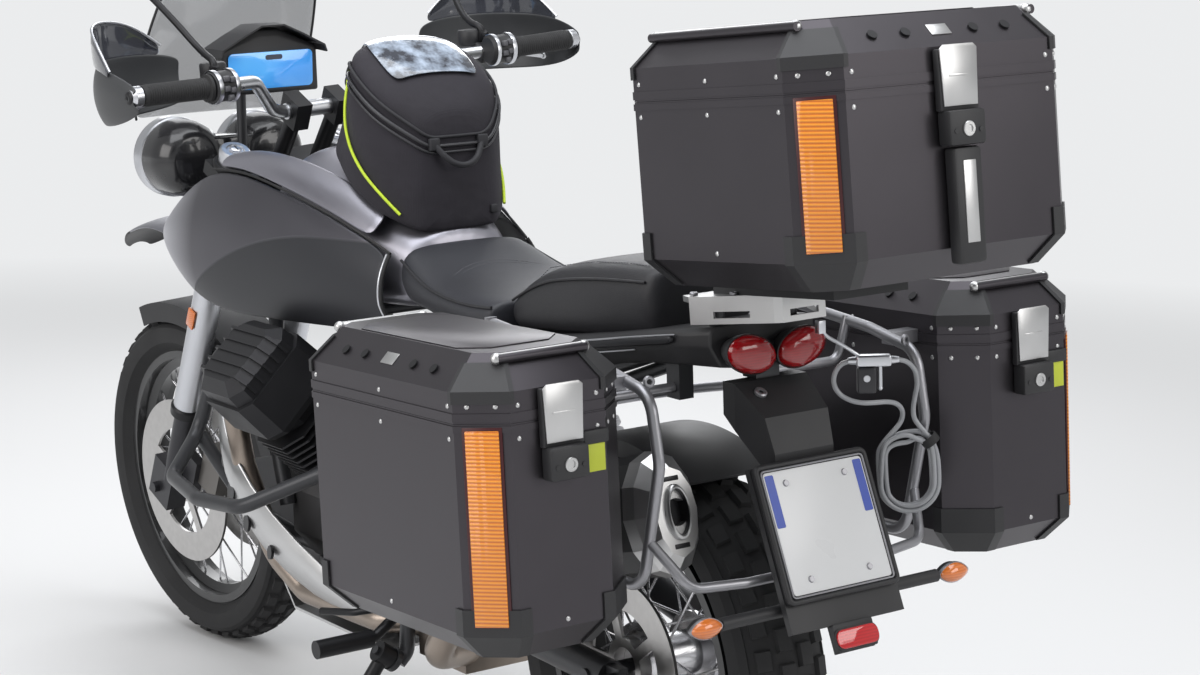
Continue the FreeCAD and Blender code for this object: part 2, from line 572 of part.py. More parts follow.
# Finned cylinder: local z runs out along the barrel from the crank axis
def cylinder(label, side):
    body = body_named(label + "_barrel")
    half, cut = s.fin_size / 2, 34

    def eight(k):
        a, b = k * half, k * half - cut
        return [(a, -b), (a, b), (b, a), (-b, a), (-a, b), (-a, -b), (-b, -a), (b, -a)]
    core = pad_of(body, "XY_Plane", [eight(0.72)], "sizes.barrel_length", label + "_core", False)
    fin = pad_of(body, "XY_Plane", [eight(1)], "sizes.fin_thickness", label + "_fin", False)
    rows = body.newObject("PartDesign::LinearPattern", label + "_fins")
    rows.Originals = [fin]
    rows.Direction = (origin_part(body, "Z_Axis"), [""])
    rows.setExpression("Length", "sizes.fin_pitch * (sizes.fin_count - 1)")
    rows.setExpression("Occurrences", "sizes.fin_count")
    body.Tip = rows
    barrel = LEAN * barrel_place(side, s.barrel_start)
    body.Placement = barrel
    head_base = s.barrel_length
    head = loft([[(x * k, y * k, z) for x, y in ((88, -62), (88, 62), (62, 84), (-62, 84), (-88, 62),
                                                 (-88, -62), (-62, -84), (62, -84))]
                 for z, k in ((head_base, 0.9), (head_base + 14, 1), (head_base + s.head_length, 0.97))])
    top = head_base + s.head_length

    def rocker_cover(grown):
        corners = ((80, -54), (80, 54), (54, 76), (-54, 76), (-80, 54), (-80, -54), (-54, -76), (54, -76))
        levels = ((top, 1), (top + 24, 0.97), (top + s.cover_length, 0.72))
        return loft([[(x * (k + grown), y * (k + grown), z + 60 * grown) for x, y in corners] for z, k in levels])
    ribs = [block(-90, 90, y - 2.5, y + 2.5, top + 6, top + 60) for y in (-42, -21, 0, 21, 42)]
    ribs = Part.makeCompound(ribs).common(rocker_cover(0.06))
    head_obj = doc.addObject("Part::Feature", label + "_head")
    head_obj.Shape = head.multiFuse([rocker_cover(0), ribs]).removeSplitter()
    head_obj.Placement = barrel
    whole = doc.addObject("Part::Fuse", label + "_whole")
    whole.Base, whole.Tool = body, head_obj
    return keep(whole, label, Placement())


cylinder("cylinder_left", 1)
cylinder("cylinder_right", -1)

# Skid plate under the sump, bent up in front of the engine
skid_line = [(x0 - 20, skid_low + 8), (x0 + 60, skid_low), (x1 + 10, skid_low), (x1 + 120, skid_low + 118),
             (x1 + 165, skid_low + 240)]
skid_inner = [(x - 0.8 * k, z + s.skid_thickness) for k, (x, z) in enumerate(skid_line)]
padded("skid_plate", "XZ_Plane", [skid_line + list(reversed(skid_inner))], "sizes.skid_width", LEAN)

# Crash bars: one loop and one strut each side
bars = []
for side in (1, -1):
    main = tube([(1012, side * 112, 690), (1100, side * 180, 650), (1150, side * 205, 505), (1062, side * 300, 452),
                 (880, side * 338, 452), (735, side * 330, 462), (640, side * 225, 520), (560, side * 120, 540)], 12.5, 50)
    strut = tube([(1142, side * 206, 500), (1090, side * 150, 376), (1012, side * 76, 312),
                  (x1 + s.seat_gap, side * 76, 312)], 12.5, 40)
    bars.append(fused([main, strut]))
feature("crash_bars", bars, merge=False)

# Exhaust: header from each head under the engine to the collector and the silencer on the left
header_r = 20
SILENCER_Y = 152
silencer_axis = (Vector(168, SILENCER_Y, 500), Vector(-196, SILENCER_Y, 598))
muffler_dir = (silencer_axis[1] - silencer_axis[0]).normalize()
headers = []
for side in (1, -1):
    port_x = s.crank_x + side * s.cylinder_stagger + 88 + s.seat_gap
    headers.append(tube([(port_x, side * 215, 628), (port_x + 84, side * 215, 628), (998, side * 192, 470),
                         (998, side * 142, 300), (905, side * 130, 247), (664, side * 118, 247),
                         (626, side * 68, 244), (575, side * 66, 240)], header_r, 50))
collector = block(430, 578, -95, 95, 206, 264)
link = tube([(450, 80, 238), (392, 170, 262), (270, SILENCER_Y + 28, 400),
             tuple(silencer_axis[0] - muffler_dir * 60), tuple(silencer_axis[0] - muffler_dir * s.seat_gap)], 24, 60)
feature("exhaust_pipes", headers + [collector, link])


def oval(centre, along, tall, wide):
    across = Vector(0, 1, 0)
    up = across.cross(along).normalize() * -1
    points = []
    for k in range(12):
        angle = 2 * math.pi * k / 12
        points.append(tuple(centre + up * (tall * math.sin(angle)) + across * (wide * math.cos(angle))))
    return points


feature("silencer", [loft([oval(silencer_axis[0], muffler_dir, 48, 36),
                           oval(silencer_axis[0] + muffler_dir * 60, muffler_dir, 82, 50),
                           oval(silencer_axis[1], muffler_dir, 86, 52)])])
cap_start = silencer_axis[1] + muffler_dir * s.seat_gap
cap_end = cap_start + muffler_dir * 52
cap = loft([oval(cap_start, muffler_dir, 88, 54), oval(cap_start + muffler_dir * 26, muffler_dir, 86, 52),
            oval(cap_end, muffler_dir, 62, 34)])
cap = cap.cut(Part.makeCylinder(19, 70, cap_end - muffler_dir * 40, muffler_dir))
feature("silencer_cap", [cap])

# Swingarm with the shaft tube on the right and a curved arm on the left
arm = s.arm_half_spread
right_y, left_y, eye_y = arm + 14, arm + 10, plate_y[1] + s.seat_gap
right_route = [(s.pivot_x - 20, -right_y, s.pivot_z), (260, -right_y, s.pivot_z - 22), (60, -right_y, 330)]
right_arm = tube(right_route, s.arm_radius + 6, 80)
left_arm = tube([(s.pivot_x - 20, left_y, s.pivot_z), (330, left_y, s.pivot_z - 14), (180, left_y, 330),
                 (-30, left_y, s.rear_tyre_radius)], s.arm_radius, 80)
eyes = [rod((s.pivot_x, side * eye_y, s.pivot_z), (s.pivot_x, side * (arm + 34), s.pivot_z), 33) for side in (1, -1)]
CROSS_X = box_x - 35
cross = rod((CROSS_X, -right_y, s.pivot_z - 6), (CROSS_X, left_y, s.pivot_z - 6), 26)
axle = rod((0, -arm - 20, s.rear_tyre_radius), (0, arm + 38, s.rear_tyre_radius), s.axle_radius)
bobbin = rod((-52, left_y, s.rear_tyre_radius + 2), (-52, left_y + 36, s.rear_tyre_radius + 2), 11)
lug = block(-64, 0, left_y - 6, left_y + 10, s.rear_tyre_radius - 18, s.rear_tyre_radius + 20)
CALIPER_OUT = arm - 8
caliper_ear = block(84, 118, CALIPER_OUT + s.seat_gap, left_y, s.rear_tyre_radius - 1, s.rear_tyre_radius + 91)
shock_lug = block(230, 260, -SHOCK_Y - 10, -SHOCK_Y + 10, 385, 420 - 12 - s.seat_gap)
HUG_RADIUS = s.rear_tyre_radius + 16
hug_x = math.sqrt((HUG_RADIUS + 4) ** 2 - (402 - s.rear_tyre_radius) ** 2)
hug_stay = block(hug_x + 2 * s.seat_gap, CROSS_X - 10, -25, 25, 402, 412)
swing = fused([right_arm, left_arm, cross, axle, bobbin, lug, caliper_ear, shock_lug, hug_stay] + eyes)
swing = swing.cut(rod((-52, left_y + 10, s.rear_tyre_radius + 2), (-52, left_y + 60, s.rear_tyre_radius + 2), 4))
feature("swingarm", [swing])
disc_slot = Part.makeCylinder(s.rear_disc_radius + 4, 11, Vector(0, s.rear_disc_offset - 5.5, s.rear_tyre_radius), Y)
caliper_foot = s.rear_tyre_radius + 55
feature("rear_caliper", [block(74, 132, s.rear_disc_offset - 22, CALIPER_OUT, caliper_foot, caliper_foot + 56).cut(disc_slot)])
drive_y = -arm - 8
drive = fused([
    Part.makeCylinder(s.drive_radius, s.drive_length, Vector(0, drive_y - 22, s.rear_tyre_radius), Y),
    Part.makeCone(56, 34, 22, Vector(0, drive_y - 22, s.rear_tyre_radius), Y * -1),
    rod((0, drive_y, s.rear_tyre_radius), (0, -s.rear_hub_length / 2 - s.seat_gap, s.rear_tyre_radius), 38)])
feature("final_drive", [drive.cut(rod((0, -250, s.rear_tyre_radius), (0, 250, s.rear_tyre_radius),
                                      s.axle_radius + s.seat_gap)).cut(
    tube(right_route, s.arm_radius + 6 + s.seat_gap, 80))])

# Rear shock with its coil, outside the shaft arm
shock_foot, shock_head = Vector(245, -SHOCK_Y, 420), Vector(420, -SHOCK_Y, 660)
shock_dir = (shock_head - shock_foot).normalize()
shock = [rod(shock_foot, shock_head - shock_dir * 22, 15), rod(shock_foot - Y * 14, shock_foot + Y * 14, 12),
         rod(shock_head - Y * 13, shock_head + Y * 13, 15)]
for k in range(8):
    shock.append(Part.makeCylinder(30, 9, shock_foot + shock_dir * (58 + 21 * k), shock_dir))
feature("rear_shock", [fused(shock).cut(rod(shock_head - Y * 40, shock_head + Y * 40, 8 + s.seat_gap))])

# Rear mudguard close over the tyre
hug = arc_guard(HUG_RADIUS, s.rear_tyre_width / 2 + 7, 22, 14, 104)
hug.translate(REAR_AXLE)
feature("rear_mudguard", [hug])

# Tank: sections along x as (x, floor, belly half width, shoulder half width, shoulder z, top z)
floor = s.tank_floor
TANK = ((s.tank_rear_x, floor + 20, 92, 78, 880, 902), (640, floor + 4, 150, 128, 912, 950),
        (760, floor, 176, 158, 950, 1000), (900, floor, 184, 165, 975, 1026),
        (1000, floor + 16, 172, 150, 975, 1020), (s.tank_front_x, floor + 56, 140, 120, 962, 1000))


def tank_section(x, floor, belly, shoulder, shoulder_z, top):
    mid = floor + 0.45 * (shoulder_z - floor)
    half = [(0.62 * belly, floor), (belly, floor + 0.12 * (shoulder_z - floor)), (belly, mid),
            (shoulder, shoulder_z), (0.5 * shoulder, top - 6)]
    right = [(x, -y, z) for y, z in half]
    left = [(x, y, z) for y, z in reversed(half)]
    return right + [(x, 0, top)] + left


tank = loft([tank_section(*row) for row in TANK])
yoke_reach = spread + s.fork_outer_radius + 9
swing_clear = rod(fork_point(0, 0, s.yoke_lower - 60), fork_point(0, 0, s.bar_clamp_height + 60), yoke_reach + 14)
tank = tank.cut(swing_clear).cut(frame_solid)
feature("fuel_tank", [tank])

# Side panels of the tank that reach forward past the fork
panels = []
for side in (1, -1):
    sections = []
    for x, low, high, inner, outer in ((930, 770, 950, 160, 188), (1000, 742, 982, 170, 192), (1100, 738, 975, 172, 200),
                                       (1220, 760, 925, 168, 204), (1320, 806, 868, 162, 184)):
        sections.append([(x, side * inner, low), (x, side * (outer - 4), low + 4), (x, side * outer, 0.5 * (low + high)),
                         (x, side * (outer - 18), high), (x, side * (inner - 16), high)])
    panels.append(loft(sections))
feature("tank_sides", [p.cut(tank).cut(swing_clear) for p in panels], merge=False)

# Tank bag, soft: x behind the tank's rear end, shares of half width at the foot and at the top, and of
# height.  Its front is narrow at the top, so that the controls pass it at full lock.
BAG = ((8, 0.44, 0.40, 0.80), (60, 0.90, 0.86, 1.0), (152, 1.0, 1.0, 0.97), (200, 0.92, 0.60, 0.90),
       (275, 0.72, 0.47, 0.62))


def tank_top(x):
    rows = sorted((row[0], row[5]) for row in TANK)
    for (xa, za), (xb, zb) in zip(rows, rows[1:]):
        if x <= xb:
            return za + (zb - za) * (x - xa) / (xb - xa)
    return rows[-1][1]


bag_sections = []
for behind, foot_share, top_share, height in BAG:
    x = s.tank_rear_x + behind
    low = tank_top(x) - 3
    high = low + s.bag_height * height
    wide, narrow = s.bag_half_width * foot_share, s.bag_half_width * top_share
    bag_sections.append([(x, -wide, low), (x, wide, low), (x, wide, low + 26), (x, narrow, low + 60),
                         (x, narrow, high - 26), (x, 0.7 * narrow, high), (x, -0.7 * narrow, high),
                         (x, -narrow, high - 26), (x, -narrow, low + 60), (x, -wide, low + 26)])
bag = loft(bag_sections)
tank_clear = tank.copy()
tank_clear.translate(Z * 2 * s.seat_gap)
feature("tank_bag", [bag.cut(tank_clear)])

# Seats, soft: rider's dished saddle and the raised passenger pad
def rail_top(x):
    share = (seat_rail_x - x) / (seat_rail_x - tail_x)
    return seat_rail_z + SEAT_RAIL_RADIUS + share * (tail_z - seat_rail_z) + 2 * s.seat_gap


# Seat section rows: x, floor, top, half width, base half width
def seat_loft(rows):
    return loft([[(x, -base, low), (x, base, low), (x, w, low + 20), (x, w, high - 22), (x, 0.72 * w, high),
                  (x, -0.72 * w, high), (x, -w, high - 22), (x, -w, low + 20)] for x, low, high, w, base in rows])


saddle_foot = rail_top(s.seat_rear_x)
SADDLE = ((s.tank_rear_x - s.seat_gap, saddle_foot + 14, 884, 84, 80), (470, saddle_foot, 858, 112, 108),
          (380, saddle_foot, 836, 138, 118), (s.seat_rear_x, saddle_foot, 838, s.seat_half_width, 118))
feature("rider_seat", [seat_loft(SADDLE)])
pillion_x = s.seat_rear_x - s.seat_gap
PILLION = ((pillion_x, rail_top(pillion_x), 846, 110, 100), (150, rail_top(150), 896, 109, 100),
           (20, rail_top(20), 918, 106, 98), (s.passenger_rear_x, rail_top(s.passenger_rear_x), 922, 92, 84))

# Tail fairing under the seats
TAIL = ((430, 690, 780, 112, 136), (240, 716, 782, 118, 146), (60, 752, 806, 112, 138),
        (-110, 780, 836, 100, 122), (-250, 790, 855, 70, 86))
tail_shells = []
for side in (1, -1):
    tail_shells.append(loft([[(x, side * wi, low), (x, side * wo, low + 6), (x, side * wo, high),
                              (x, side * wi, high)] for x, low, high, wi, wo in TAIL]))
tail_shells.append(loft([[(x, -w, low), (x, w, low), (x, w, high), (x, -w, high)]
                         for x, low, high, w in ((-210, 838, 855, 88), (TAIL_END_X, 788, 853, 88))]))
tail_whole = fused(tail_shells).cut(frame_solid)
feature("passenger_seat", [seat_loft(PILLION).cut(tail_whole)])
feature("tail_fairing", [tail_whole])
LAMP_HALF_WIDTH, LAMP_HALF_HEIGHT, LAMP_DEPTH = 41, 27, 26
lamps = []
for side in (1, -1):
    seat_middle = Vector(TAIL_END_X - s.seat_gap, side * (LAMP_HALF_WIDTH + 2), 818)
    lamps.append(loft([oval(seat_middle + Vector(-back, 0, 0), X * -1, LAMP_HALF_HEIGHT * k, LAMP_HALF_WIDTH * k)
                       for back, k in ((0, 1), (LAMP_DEPTH - 10, 0.97), (LAMP_DEPTH, 0.7))]))
feature("tail_lights", lamps, merge=False)

# Plate holder, blank plate, indicators and reflector
tilt = math.radians(s.plate_tilt)
plate_dir = Vector(math.sin(tilt), 0, math.cos(tilt))
plate_out = Vector(-math.cos(tilt), 0, math.sin(tilt))
plate_mid = Vector(s.plate_x, 0, s.plate_z)


def plate_box(half_w, low, high, back, front):
    corners = []
    for depth in (back, front):
        corners.append([tuple(plate_mid + plate_dir * v + plate_out * depth + Y * w)
                        for w, v in ((-half_w, low), (half_w, low), (half_w, high), (-half_w, high))])
    return loft(corners)


half_plate = s.plate_side / 2
holder = [plate_box(half_plate + 6, -half_plate - 42, half_plate + 4, -14, -4),
          plate_box(32, -half_plate - 80, -half_plate - 40, -12, -4),
          loft([[(x, -w, low), (x, w, low), (x, w, high), (x, -w, high)]
                for x, w, low, high in ((TAIL_END_X + 26, 62, 732, HOLDER_TOP), (TAIL_END_X, 62, 712, HOLDER_TOP),
                                        (-318, 54, 664, 738), (-334, 50, 652, 690))]),
          rod((-386, -186, 492), (-386, 186, 492), 9),
          block(-404, -380, -30, 30, 478, 504)]
plate = plate_box(half_plate, -half_plate, half_plate, -4 + s.seat_gap, -2)
feature("plate_holder", [fused(holder), plate], merge=False)
signals = []
for side in (1, -1):
    signals.append(loft([[(x, side * (186 + s.seat_gap), 478), (x, side * 238, 484), (x, side * 240, 500),
                          (x, side * (186 + s.seat_gap), 508)] for x in (-404, -372)]))
signals.append(plate_box(36, -half_plate - 78, -half_plate - 48, -4 + s.seat_gap, 6))
feature("rear_signals", signals, merge=False)

# Rack plate: its rear sides run in to a narrow tail, with a slotted lip turned down round it
RACK_FRONT, RACK_BROAD, RACK_NARROW, RACK_REAR = (140, 92), (110, 104), (2, 44), (-8, 36)


def rack_prism(inset, low, high, front=()):
    half = list(front)
    half += [(x + share * inset, w - inset) for (x, w), share in ((RACK_BROAD, 1), (RACK_NARROW, 0.5), (RACK_REAR, 1))]
    outline = half + [(x, -w) for x, w in reversed(half)]
    return loft([[(x, y, z) for x, y in outline] for z in (low, high)])


lip_low = -s.lip_drop
slots = [block(RACK_REAR[0] - 10, RACK_REAR[0] + 12, -24, 24, lip_low + 8, lip_low + 17)]
wall_turn = math.degrees(math.atan2(RACK_BROAD[1] - RACK_NARROW[1], RACK_BROAD[0] - RACK_NARROW[0]))
for side in (1, -1):
    slot = block(-27, 27, -12, 12, lip_low + 8, lip_low + 17)
    middle = Vector((RACK_BROAD[0] + RACK_NARROW[0]) / 2, side * (RACK_BROAD[1] + RACK_NARROW[1]) / 2, 0)
    slot.Placement = Placement(middle, Rotation(Z, side * wall_turn))
    slots.append(slot)
lip = rack_prism(0, lip_low, s.rack_thickness).cut(rack_prism(s.lip_wall, lip_low - 1, s.rack_thickness + 1))
rack_sheet = rack_prism(0, 0, s.rack_thickness, [RACK_FRONT])
feature("rack_plate", [rack_sheet.fuse(lip).removeSplitter().cut(Part.makeCompound(slots))], rack_place)


# Cases: an eight-sided box, chamfered round the foot, hollow and open at the top
LOOP_LENGTH, LOOP_RISE = 52, 9


def case_shell(label, length, width, depth, cut, upside):
    half_l, half_w, c = getattr(s, length) / 2, getattr(s, width) / 2, s.case_corner
    eight = [(half_l, -half_w + c), (half_l, half_w - c), (half_l - c, half_w), (-half_l + c, half_w),
             (-half_l, half_w - c), (-half_l, -half_w + c), (-half_l + c, -half_w), (half_l - c, -half_w)]
    body = body_named(label)
    pad = pad_of(body, "XY_Plane", [eight], "sizes." + depth, label + "_pad", False)
    doc.recompute()
    flat = [f for f in range(1, len(pad.Shape.Faces) + 1)
            if abs(abs(pad.Shape.Faces[f - 1].normalAt(0, 0).z) - 1) < 1e-6]
    flat.sort(key=lambda f: pad.Shape.Faces[f - 1].CenterOfMass.z)
    foot, mouth = (flat[0], flat[-1]) if not upside else (flat[-1], flat[0])
    chamfer = body.newObject("PartDesign::Chamfer", label + "_edge")
    chamfer.Base = (pad, ["Face%d" % foot])
    chamfer.setExpression("Size", "sizes." + cut)
    doc.recompute()
    faces = chamfer.Shape.Faces
    mouth_z = pad.Shape.Faces[mouth - 1].CenterOfMass.z
    mouth = next(k for k, f in enumerate(faces, start=1)
                 if abs(f.CenterOfMass.z - mouth_z) < 1e-6 and abs(abs(f.normalAt(0, 0).z) - 1) < 1e-6)
    hollow = body.newObject("PartDesign::Thickness", label + "_wall")
    hollow.Base = (chamfer, ["Face%d" % mouth])
    hollow.setExpression("Value", "sizes.case_wall")
    hollow.Reversed = True
    hollow.Join = 1
    body.Tip = hollow
    return body


# Lid fittings, in the lid's frame: a rail on the shoulder of each end with rails, two loops on each other side
def lid_fittings(half_l, half_w, depth, rails_across):
    cut, c = s.lid_shoulder_cut, s.case_corner
    seat = depth - 9 + s.rail_radius * 0.5
    fittings = []
    for side in (1, -1):
        end_half, side_half = (half_l, half_w) if rails_across else (half_w, half_l)
        rail_out = side * (end_half - cut + 9 + s.rail_radius * 0.5)
        rail_reach = side_half - c - 4
        loop_out, loop_low = side * (side_half - cut + 24), depth - 24
        for start in (-0.62 * (end_half - c), 0.62 * (end_half - c) - LOOP_LENGTH):
            feet = [(start, loop_out - side * 2, loop_low - 2), (start, loop_out + side * LOOP_RISE, loop_low + LOOP_RISE),
                    (start + LOOP_LENGTH, loop_out + side * LOOP_RISE, loop_low + LOOP_RISE),
                    (start + LOOP_LENGTH, loop_out - side * 2, loop_low - 2)]
            if rails_across:
                fittings.append(tube(feet, s.loop_radius, 6))
            else:
                fittings.append(tube([(y, x, z) for x, y, z in feet], s.loop_radius, 6))
        ends = [(rail_out, -rail_reach, seat), (rail_out, rail_reach, seat)]
        fittings.append(rod(*(ends if rails_across else [(y, x, z) for x, y, z in ends]), s.rail_radius))
    return fittings


top_place = at(s.top_x, 0, s.top_foot, Rotation(Y, s.top_pitch))
left_place = at(s.side_x, s.side_inner + s.side_width / 2, s.side_foot, Rotation(Y, s.side_pitch))
right_place = at(s.side_x, -s.side_inner - s.side_width / 2, s.side_foot, Rotation(Y, s.side_pitch))
for name, place, length, width, depth, lid_depth in (
        ("top_case", top_place, "top_length", "top_width", "top_depth", "top_lid_depth"),
        ("left_case", left_place, "side_length", "side_width", "side_depth", "side_lid_depth"),
        ("right_case", right_place, "side_length", "side_width", "side_depth", "side_lid_depth")):
    keep(case_shell(name + "_body", length, width, depth, "case_foot_cut", False), name + "_body", place)
    lift = place * Placement(Vector(0, 0, getattr(s, depth) + s.lid_gap), Rotation())
    shell = case_shell(name + "_shell", length, width, lid_depth, "lid_shoulder_cut", True)
    shell.Placement = lift
    fittings = doc.addObject("Part::Feature", name + "_fittings")
    fittings.Shape = fused(lid_fittings(getattr(s, length) / 2, getattr(s, width) / 2, getattr(s, lid_depth),
                                        name != "top_case"))
    fittings.Placement = lift
    lid = doc.addObject("Part::Fuse", name + "_lid_whole")
    lid.Base, lid.Tool = shell, fittings
    keep(lid, name + "_lid", Placement())

# Latches and lock blocks on the rear faces of the case bodies
latches = []
for place, length, depth in ((top_place, s.top_length, s.top_depth), (left_place, s.side_length, s.side_depth),
                             (right_place, s.side_length, s.side_depth)):
    latch = fused([block(-length / 2 - 14, -length / 2 - 1, -32, 32, depth - 36, depth + 44),
                   block(-length / 2 - 26, -length / 2 - s.seat_gap, -30, 30, depth - 78, depth - 34)])
    latch.Placement = LEAN.inverse() * place
    latches.append(latch)
feature("case_latches", latches, merge=False)

# Orange reflectors on the rear chamfers
reflectors = []
for place, length, width, depth, sides in ((top_place, s.top_length, s.top_width, s.top_depth, (1,)),
                                           (left_place, s.side_length, s.side_width, s.side_depth, (1,)),
                                           (right_place, s.side_length, s.side_width, s.side_depth, (-1,))):
    for side in sides:
        strip = block(-3 - s.seat_gap, -s.seat_gap, -26, 26, 44, depth - 4)
        turn = Rotation(Z, -45 * side)
        corner = Vector(-length / 2 + s.case_corner / 2, side * (width / 2 - s.case_corner / 2), 0)
        strip.Placement = LEAN.inverse() * place * Placement(corner, turn)
        reflectors.append(strip)
feature("case_reflectors", reflectors, merge=False)

# Adapter between the rack plate and the top case
pitch = math.radians(s.top_pitch)
mount_top = (s.top_x - RACK_X) * math.sin(pitch) + (s.top_foot - s.rack_height) * math.cos(pitch)
feature("top_case_mount", [block(-150, 110, -62, 62, s.rack_thickness, mount_top)], rack_place)

# Tubular racks of the side cases
side_rack_y = s.side_inner - 48
RACK_TUBE = 8


def rack_loop(side):
    return [(88, side * side_rack_y, 838), (-200, side * side_rack_y, 812), (-300, side * side_rack_y, 792),
            (-318, side * side_rack_y, 700), (-272, side * side_rack_y, 524), (66, side * side_rack_y, 530)]


racks = []
rack_y = side_rack_y
for side in (1, -1):
    y0, y1 = sorted((side * rack_y, side * (s.side_inner - s.seat_gap)))
    racks += [
        tube(rack_loop(side), RACK_TUBE, 40),
        rod((92, side * rack_y, 846), (62, side * rack_y, 520), 9),
        tube([(80, side * rack_y, 690), (230, side * (rack_y - 10), 660), (300, side * 170, 645),
              (300, side * (108 + s.seat_gap), 645)], 8, 30),
        tube([(-150, side * rack_y, 822), (-150, side * (rack_y - 20), 760),
              (-150, side * (RACK_TAB_Y + s.seat_gap), 760)], 7, 20),
    ]
    racks += [block(x, x + 24, y0, y1, z, z + 18) for x, z in ((-250, 792), (20, 820), (-120, 516))]
racks.append(tube([(-293, rack_y, 590), (-340, rack_y - 30, 532), (-356, 120, 530), (-356, -120, 530),
                   (-340, -rack_y + 30, 532), (-293, -rack_y, 590)], 7, 30))
feature("pannier_racks", [fused(racks)])

# Security cable at the rack's right: a lock on a hook, its two loose ends, and the coil strapped to the rack
CABLE_ACROSS, CABLE_INWARD = Vector(-0.56, -0.83, 0).normalize(), Vector(0.83, -0.56, 0).normalize()
LOCK = Vector(-335, -119, 797)
COIL_MIDDLE = LOCK + CABLE_ACROSS * 54 + CABLE_INWARD * 48 - Z * 166
COIL_RADIUS, COIL_RUN = 38, 36


def by_lock(across, up, inward=0):
    return tuple(LOCK + CABLE_ACROSS * across + Z * up + CABLE_INWARD * inward)


def coil_ring(radius):
    turns = [Part.makeCylinder(radius, COIL_RUN, Vector(side * COIL_RADIUS, 0, -COIL_RUN / 2), Z) for side in (1, -1)]
    for up in (1, -1):
        face = Part.Face(Part.Wire(Part.makeCircle(radius, Vector(COIL_RADIUS, 0, up * COIL_RUN / 2), Z)))
        turns.append(face.revolve(Vector(0, 0, up * COIL_RUN / 2), Y, -180 * up))
    ring = fused(turns)
    ring.Placement = Placement(COIL_MIDDLE, Rotation(X, CABLE_ACROSS))
    return ring


coil_clear = coil_ring(s.coil_radius + s.seat_gap)
feature("cable_coil", [coil_ring(s.coil_radius)])
lock = fused([block(-22, 26, -9, 9, -8, 8), block(-22, 6, -8, 8, -45, -7), rod((11, 0, -6), (11, 0, -38), 3)])
lock.Placement = Placement(LOCK, Rotation(X, CABLE_ACROSS))
rack_frame = LEAN.inverse() * rack_place
hook_clip = block(RACK_REAR[0] - 6, RACK_REAR[0] - s.seat_gap, -34, -22, lip_low + 4, lip_low + 20)
hook_clip.Placement = rack_frame
hook_top, hook_bend = (rack_frame.multVec(Vector(RACK_REAR[0] - 4, -28, lip_low + up)) for up in (12, -4))
hook = tube([hook_top, hook_bend, by_lock(-37, 21), by_lock(-14, 4)], 2.5, 8)
strap_foot = Vector(-310.7, -side_rack_y, 672)
strap_end = COIL_MIDDLE + CABLE_ACROSS * 30 + Z * 41.3
strap = fused([Part.makeCylinder(12, 16, strap_foot - Vector(2, 0, -8), Vector(46, 0, -176)),
               rod(strap_foot, strap_end, 5),
               Part.makeCylinder(13, 12, strap_end + CABLE_ACROSS * 3.7 - Z * 4.7, CABLE_ACROSS * -23.3 + Z * 30)])
strap = strap.cut(tube(rack_loop(-1), RACK_TUBE + s.seat_gap, 40)).cut(coil_clear)
feature("cable_lock", [fused([lock, hook, hook_clip]), strap], merge=False)

# Its loose ends, by_lock points: across, up, inward
FIRST_END = ((-22, 0, 0), (-37, 0, 0), (-50, -12, 0), (-54, -29, 0), (-47, -45, 0), (-32, -55, 0), (-14, -60, 2),
             (5, -61, 8), (23, -62, 18), (38, -68, 30), (46, -80, 41), (48, -94, 48), (48, -108, 48))
SECOND_END = ((26, 0, 0), (42, 0, 0), (56, -11, 14), (64, -26, 26), (66, -44, 36), (63, -62, 44), (60, -80, 48),
              (60, -108, 48))
ends = []
for route in (FIRST_END, SECOND_END):
    points = [Vector(*by_lock(*point)) for point in route]
    radii = []
    for before, corner, after in zip(points, points[1:], points[2:]):
        turn = (corner - before).getAngle(after - corner)
        radii.append(0.45 * min((corner - before).Length, (after - corner).Length) / math.tan(turn / 2))
    end = tube(points, s.cable_radius, max(radii))
    print("cable end: bend radii", [round(radius, 1) for radius in radii], "volume over section",
          round(end.Volume / (math.pi * s.cable_radius ** 2), 1))
    ends.append(end.cut(coil_clear))
feature("security_cable", ends, merge=False)

# Footpegs, gear lever and brake pedal
pegs = []
peg_y = plate_y[1] + s.seat_gap
for side in (1, -1):
    pegs.append(tube([(548, side * peg_y, 304), (548, side * (peg_y + 34), 304), (540, side * 196, 264),
                      (540, side * 214, 262)], 9, 12).fuse(rod((540, side * 205, 262), (540, side * 305, 262), 15)))
    pegs.append(tube([(512, side * peg_y, 320), (512, side * (peg_y + 70), 316), (572, side * 216, 300),
                      (640, side * 240, 292)], 6, 20))
feature("footpegs", pegs, merge=False)

# Headlamps, dash and screen on the frame's front bracket
headlamp = [Part.makeCylinder(72, 120, Vector(LAMP_X, side * 82, 965), X) for side in (1, -1)]
headlamp.append(block(LAMP_X, LAMP_X + 70, -90, 90, 915, 1015))
feature("headlamps", [fused(headlamp)])
feature("dash", [loft([[(1196, -96, 1092), (1196, 96, 1092), (1196, 96, 1172), (1196, -96, 1172)],
                       [(DASH_FRONT_X, -96, 1110), (DASH_FRONT_X, 96, 1110), (DASH_FRONT_X, 104, 1210),
                        (DASH_FRONT_X, -104, 1210)]]),
                 ])
SCREEN = ((1436, 172, 1040), (1352, 168, 1190), (1262, 140, 1345))
feature("windscreen", [loft([[(x, -w, z), (x + 30, -0.4 * w, z), (x + 30, 0.4 * w, z), (x, w, z),
                              (x - 4, w, z), (x + 26, 0.4 * w, z), (x + 26, -0.4 * w, z), (x - 4, -w, z)]
                             for x, w, z in SCREEN])])
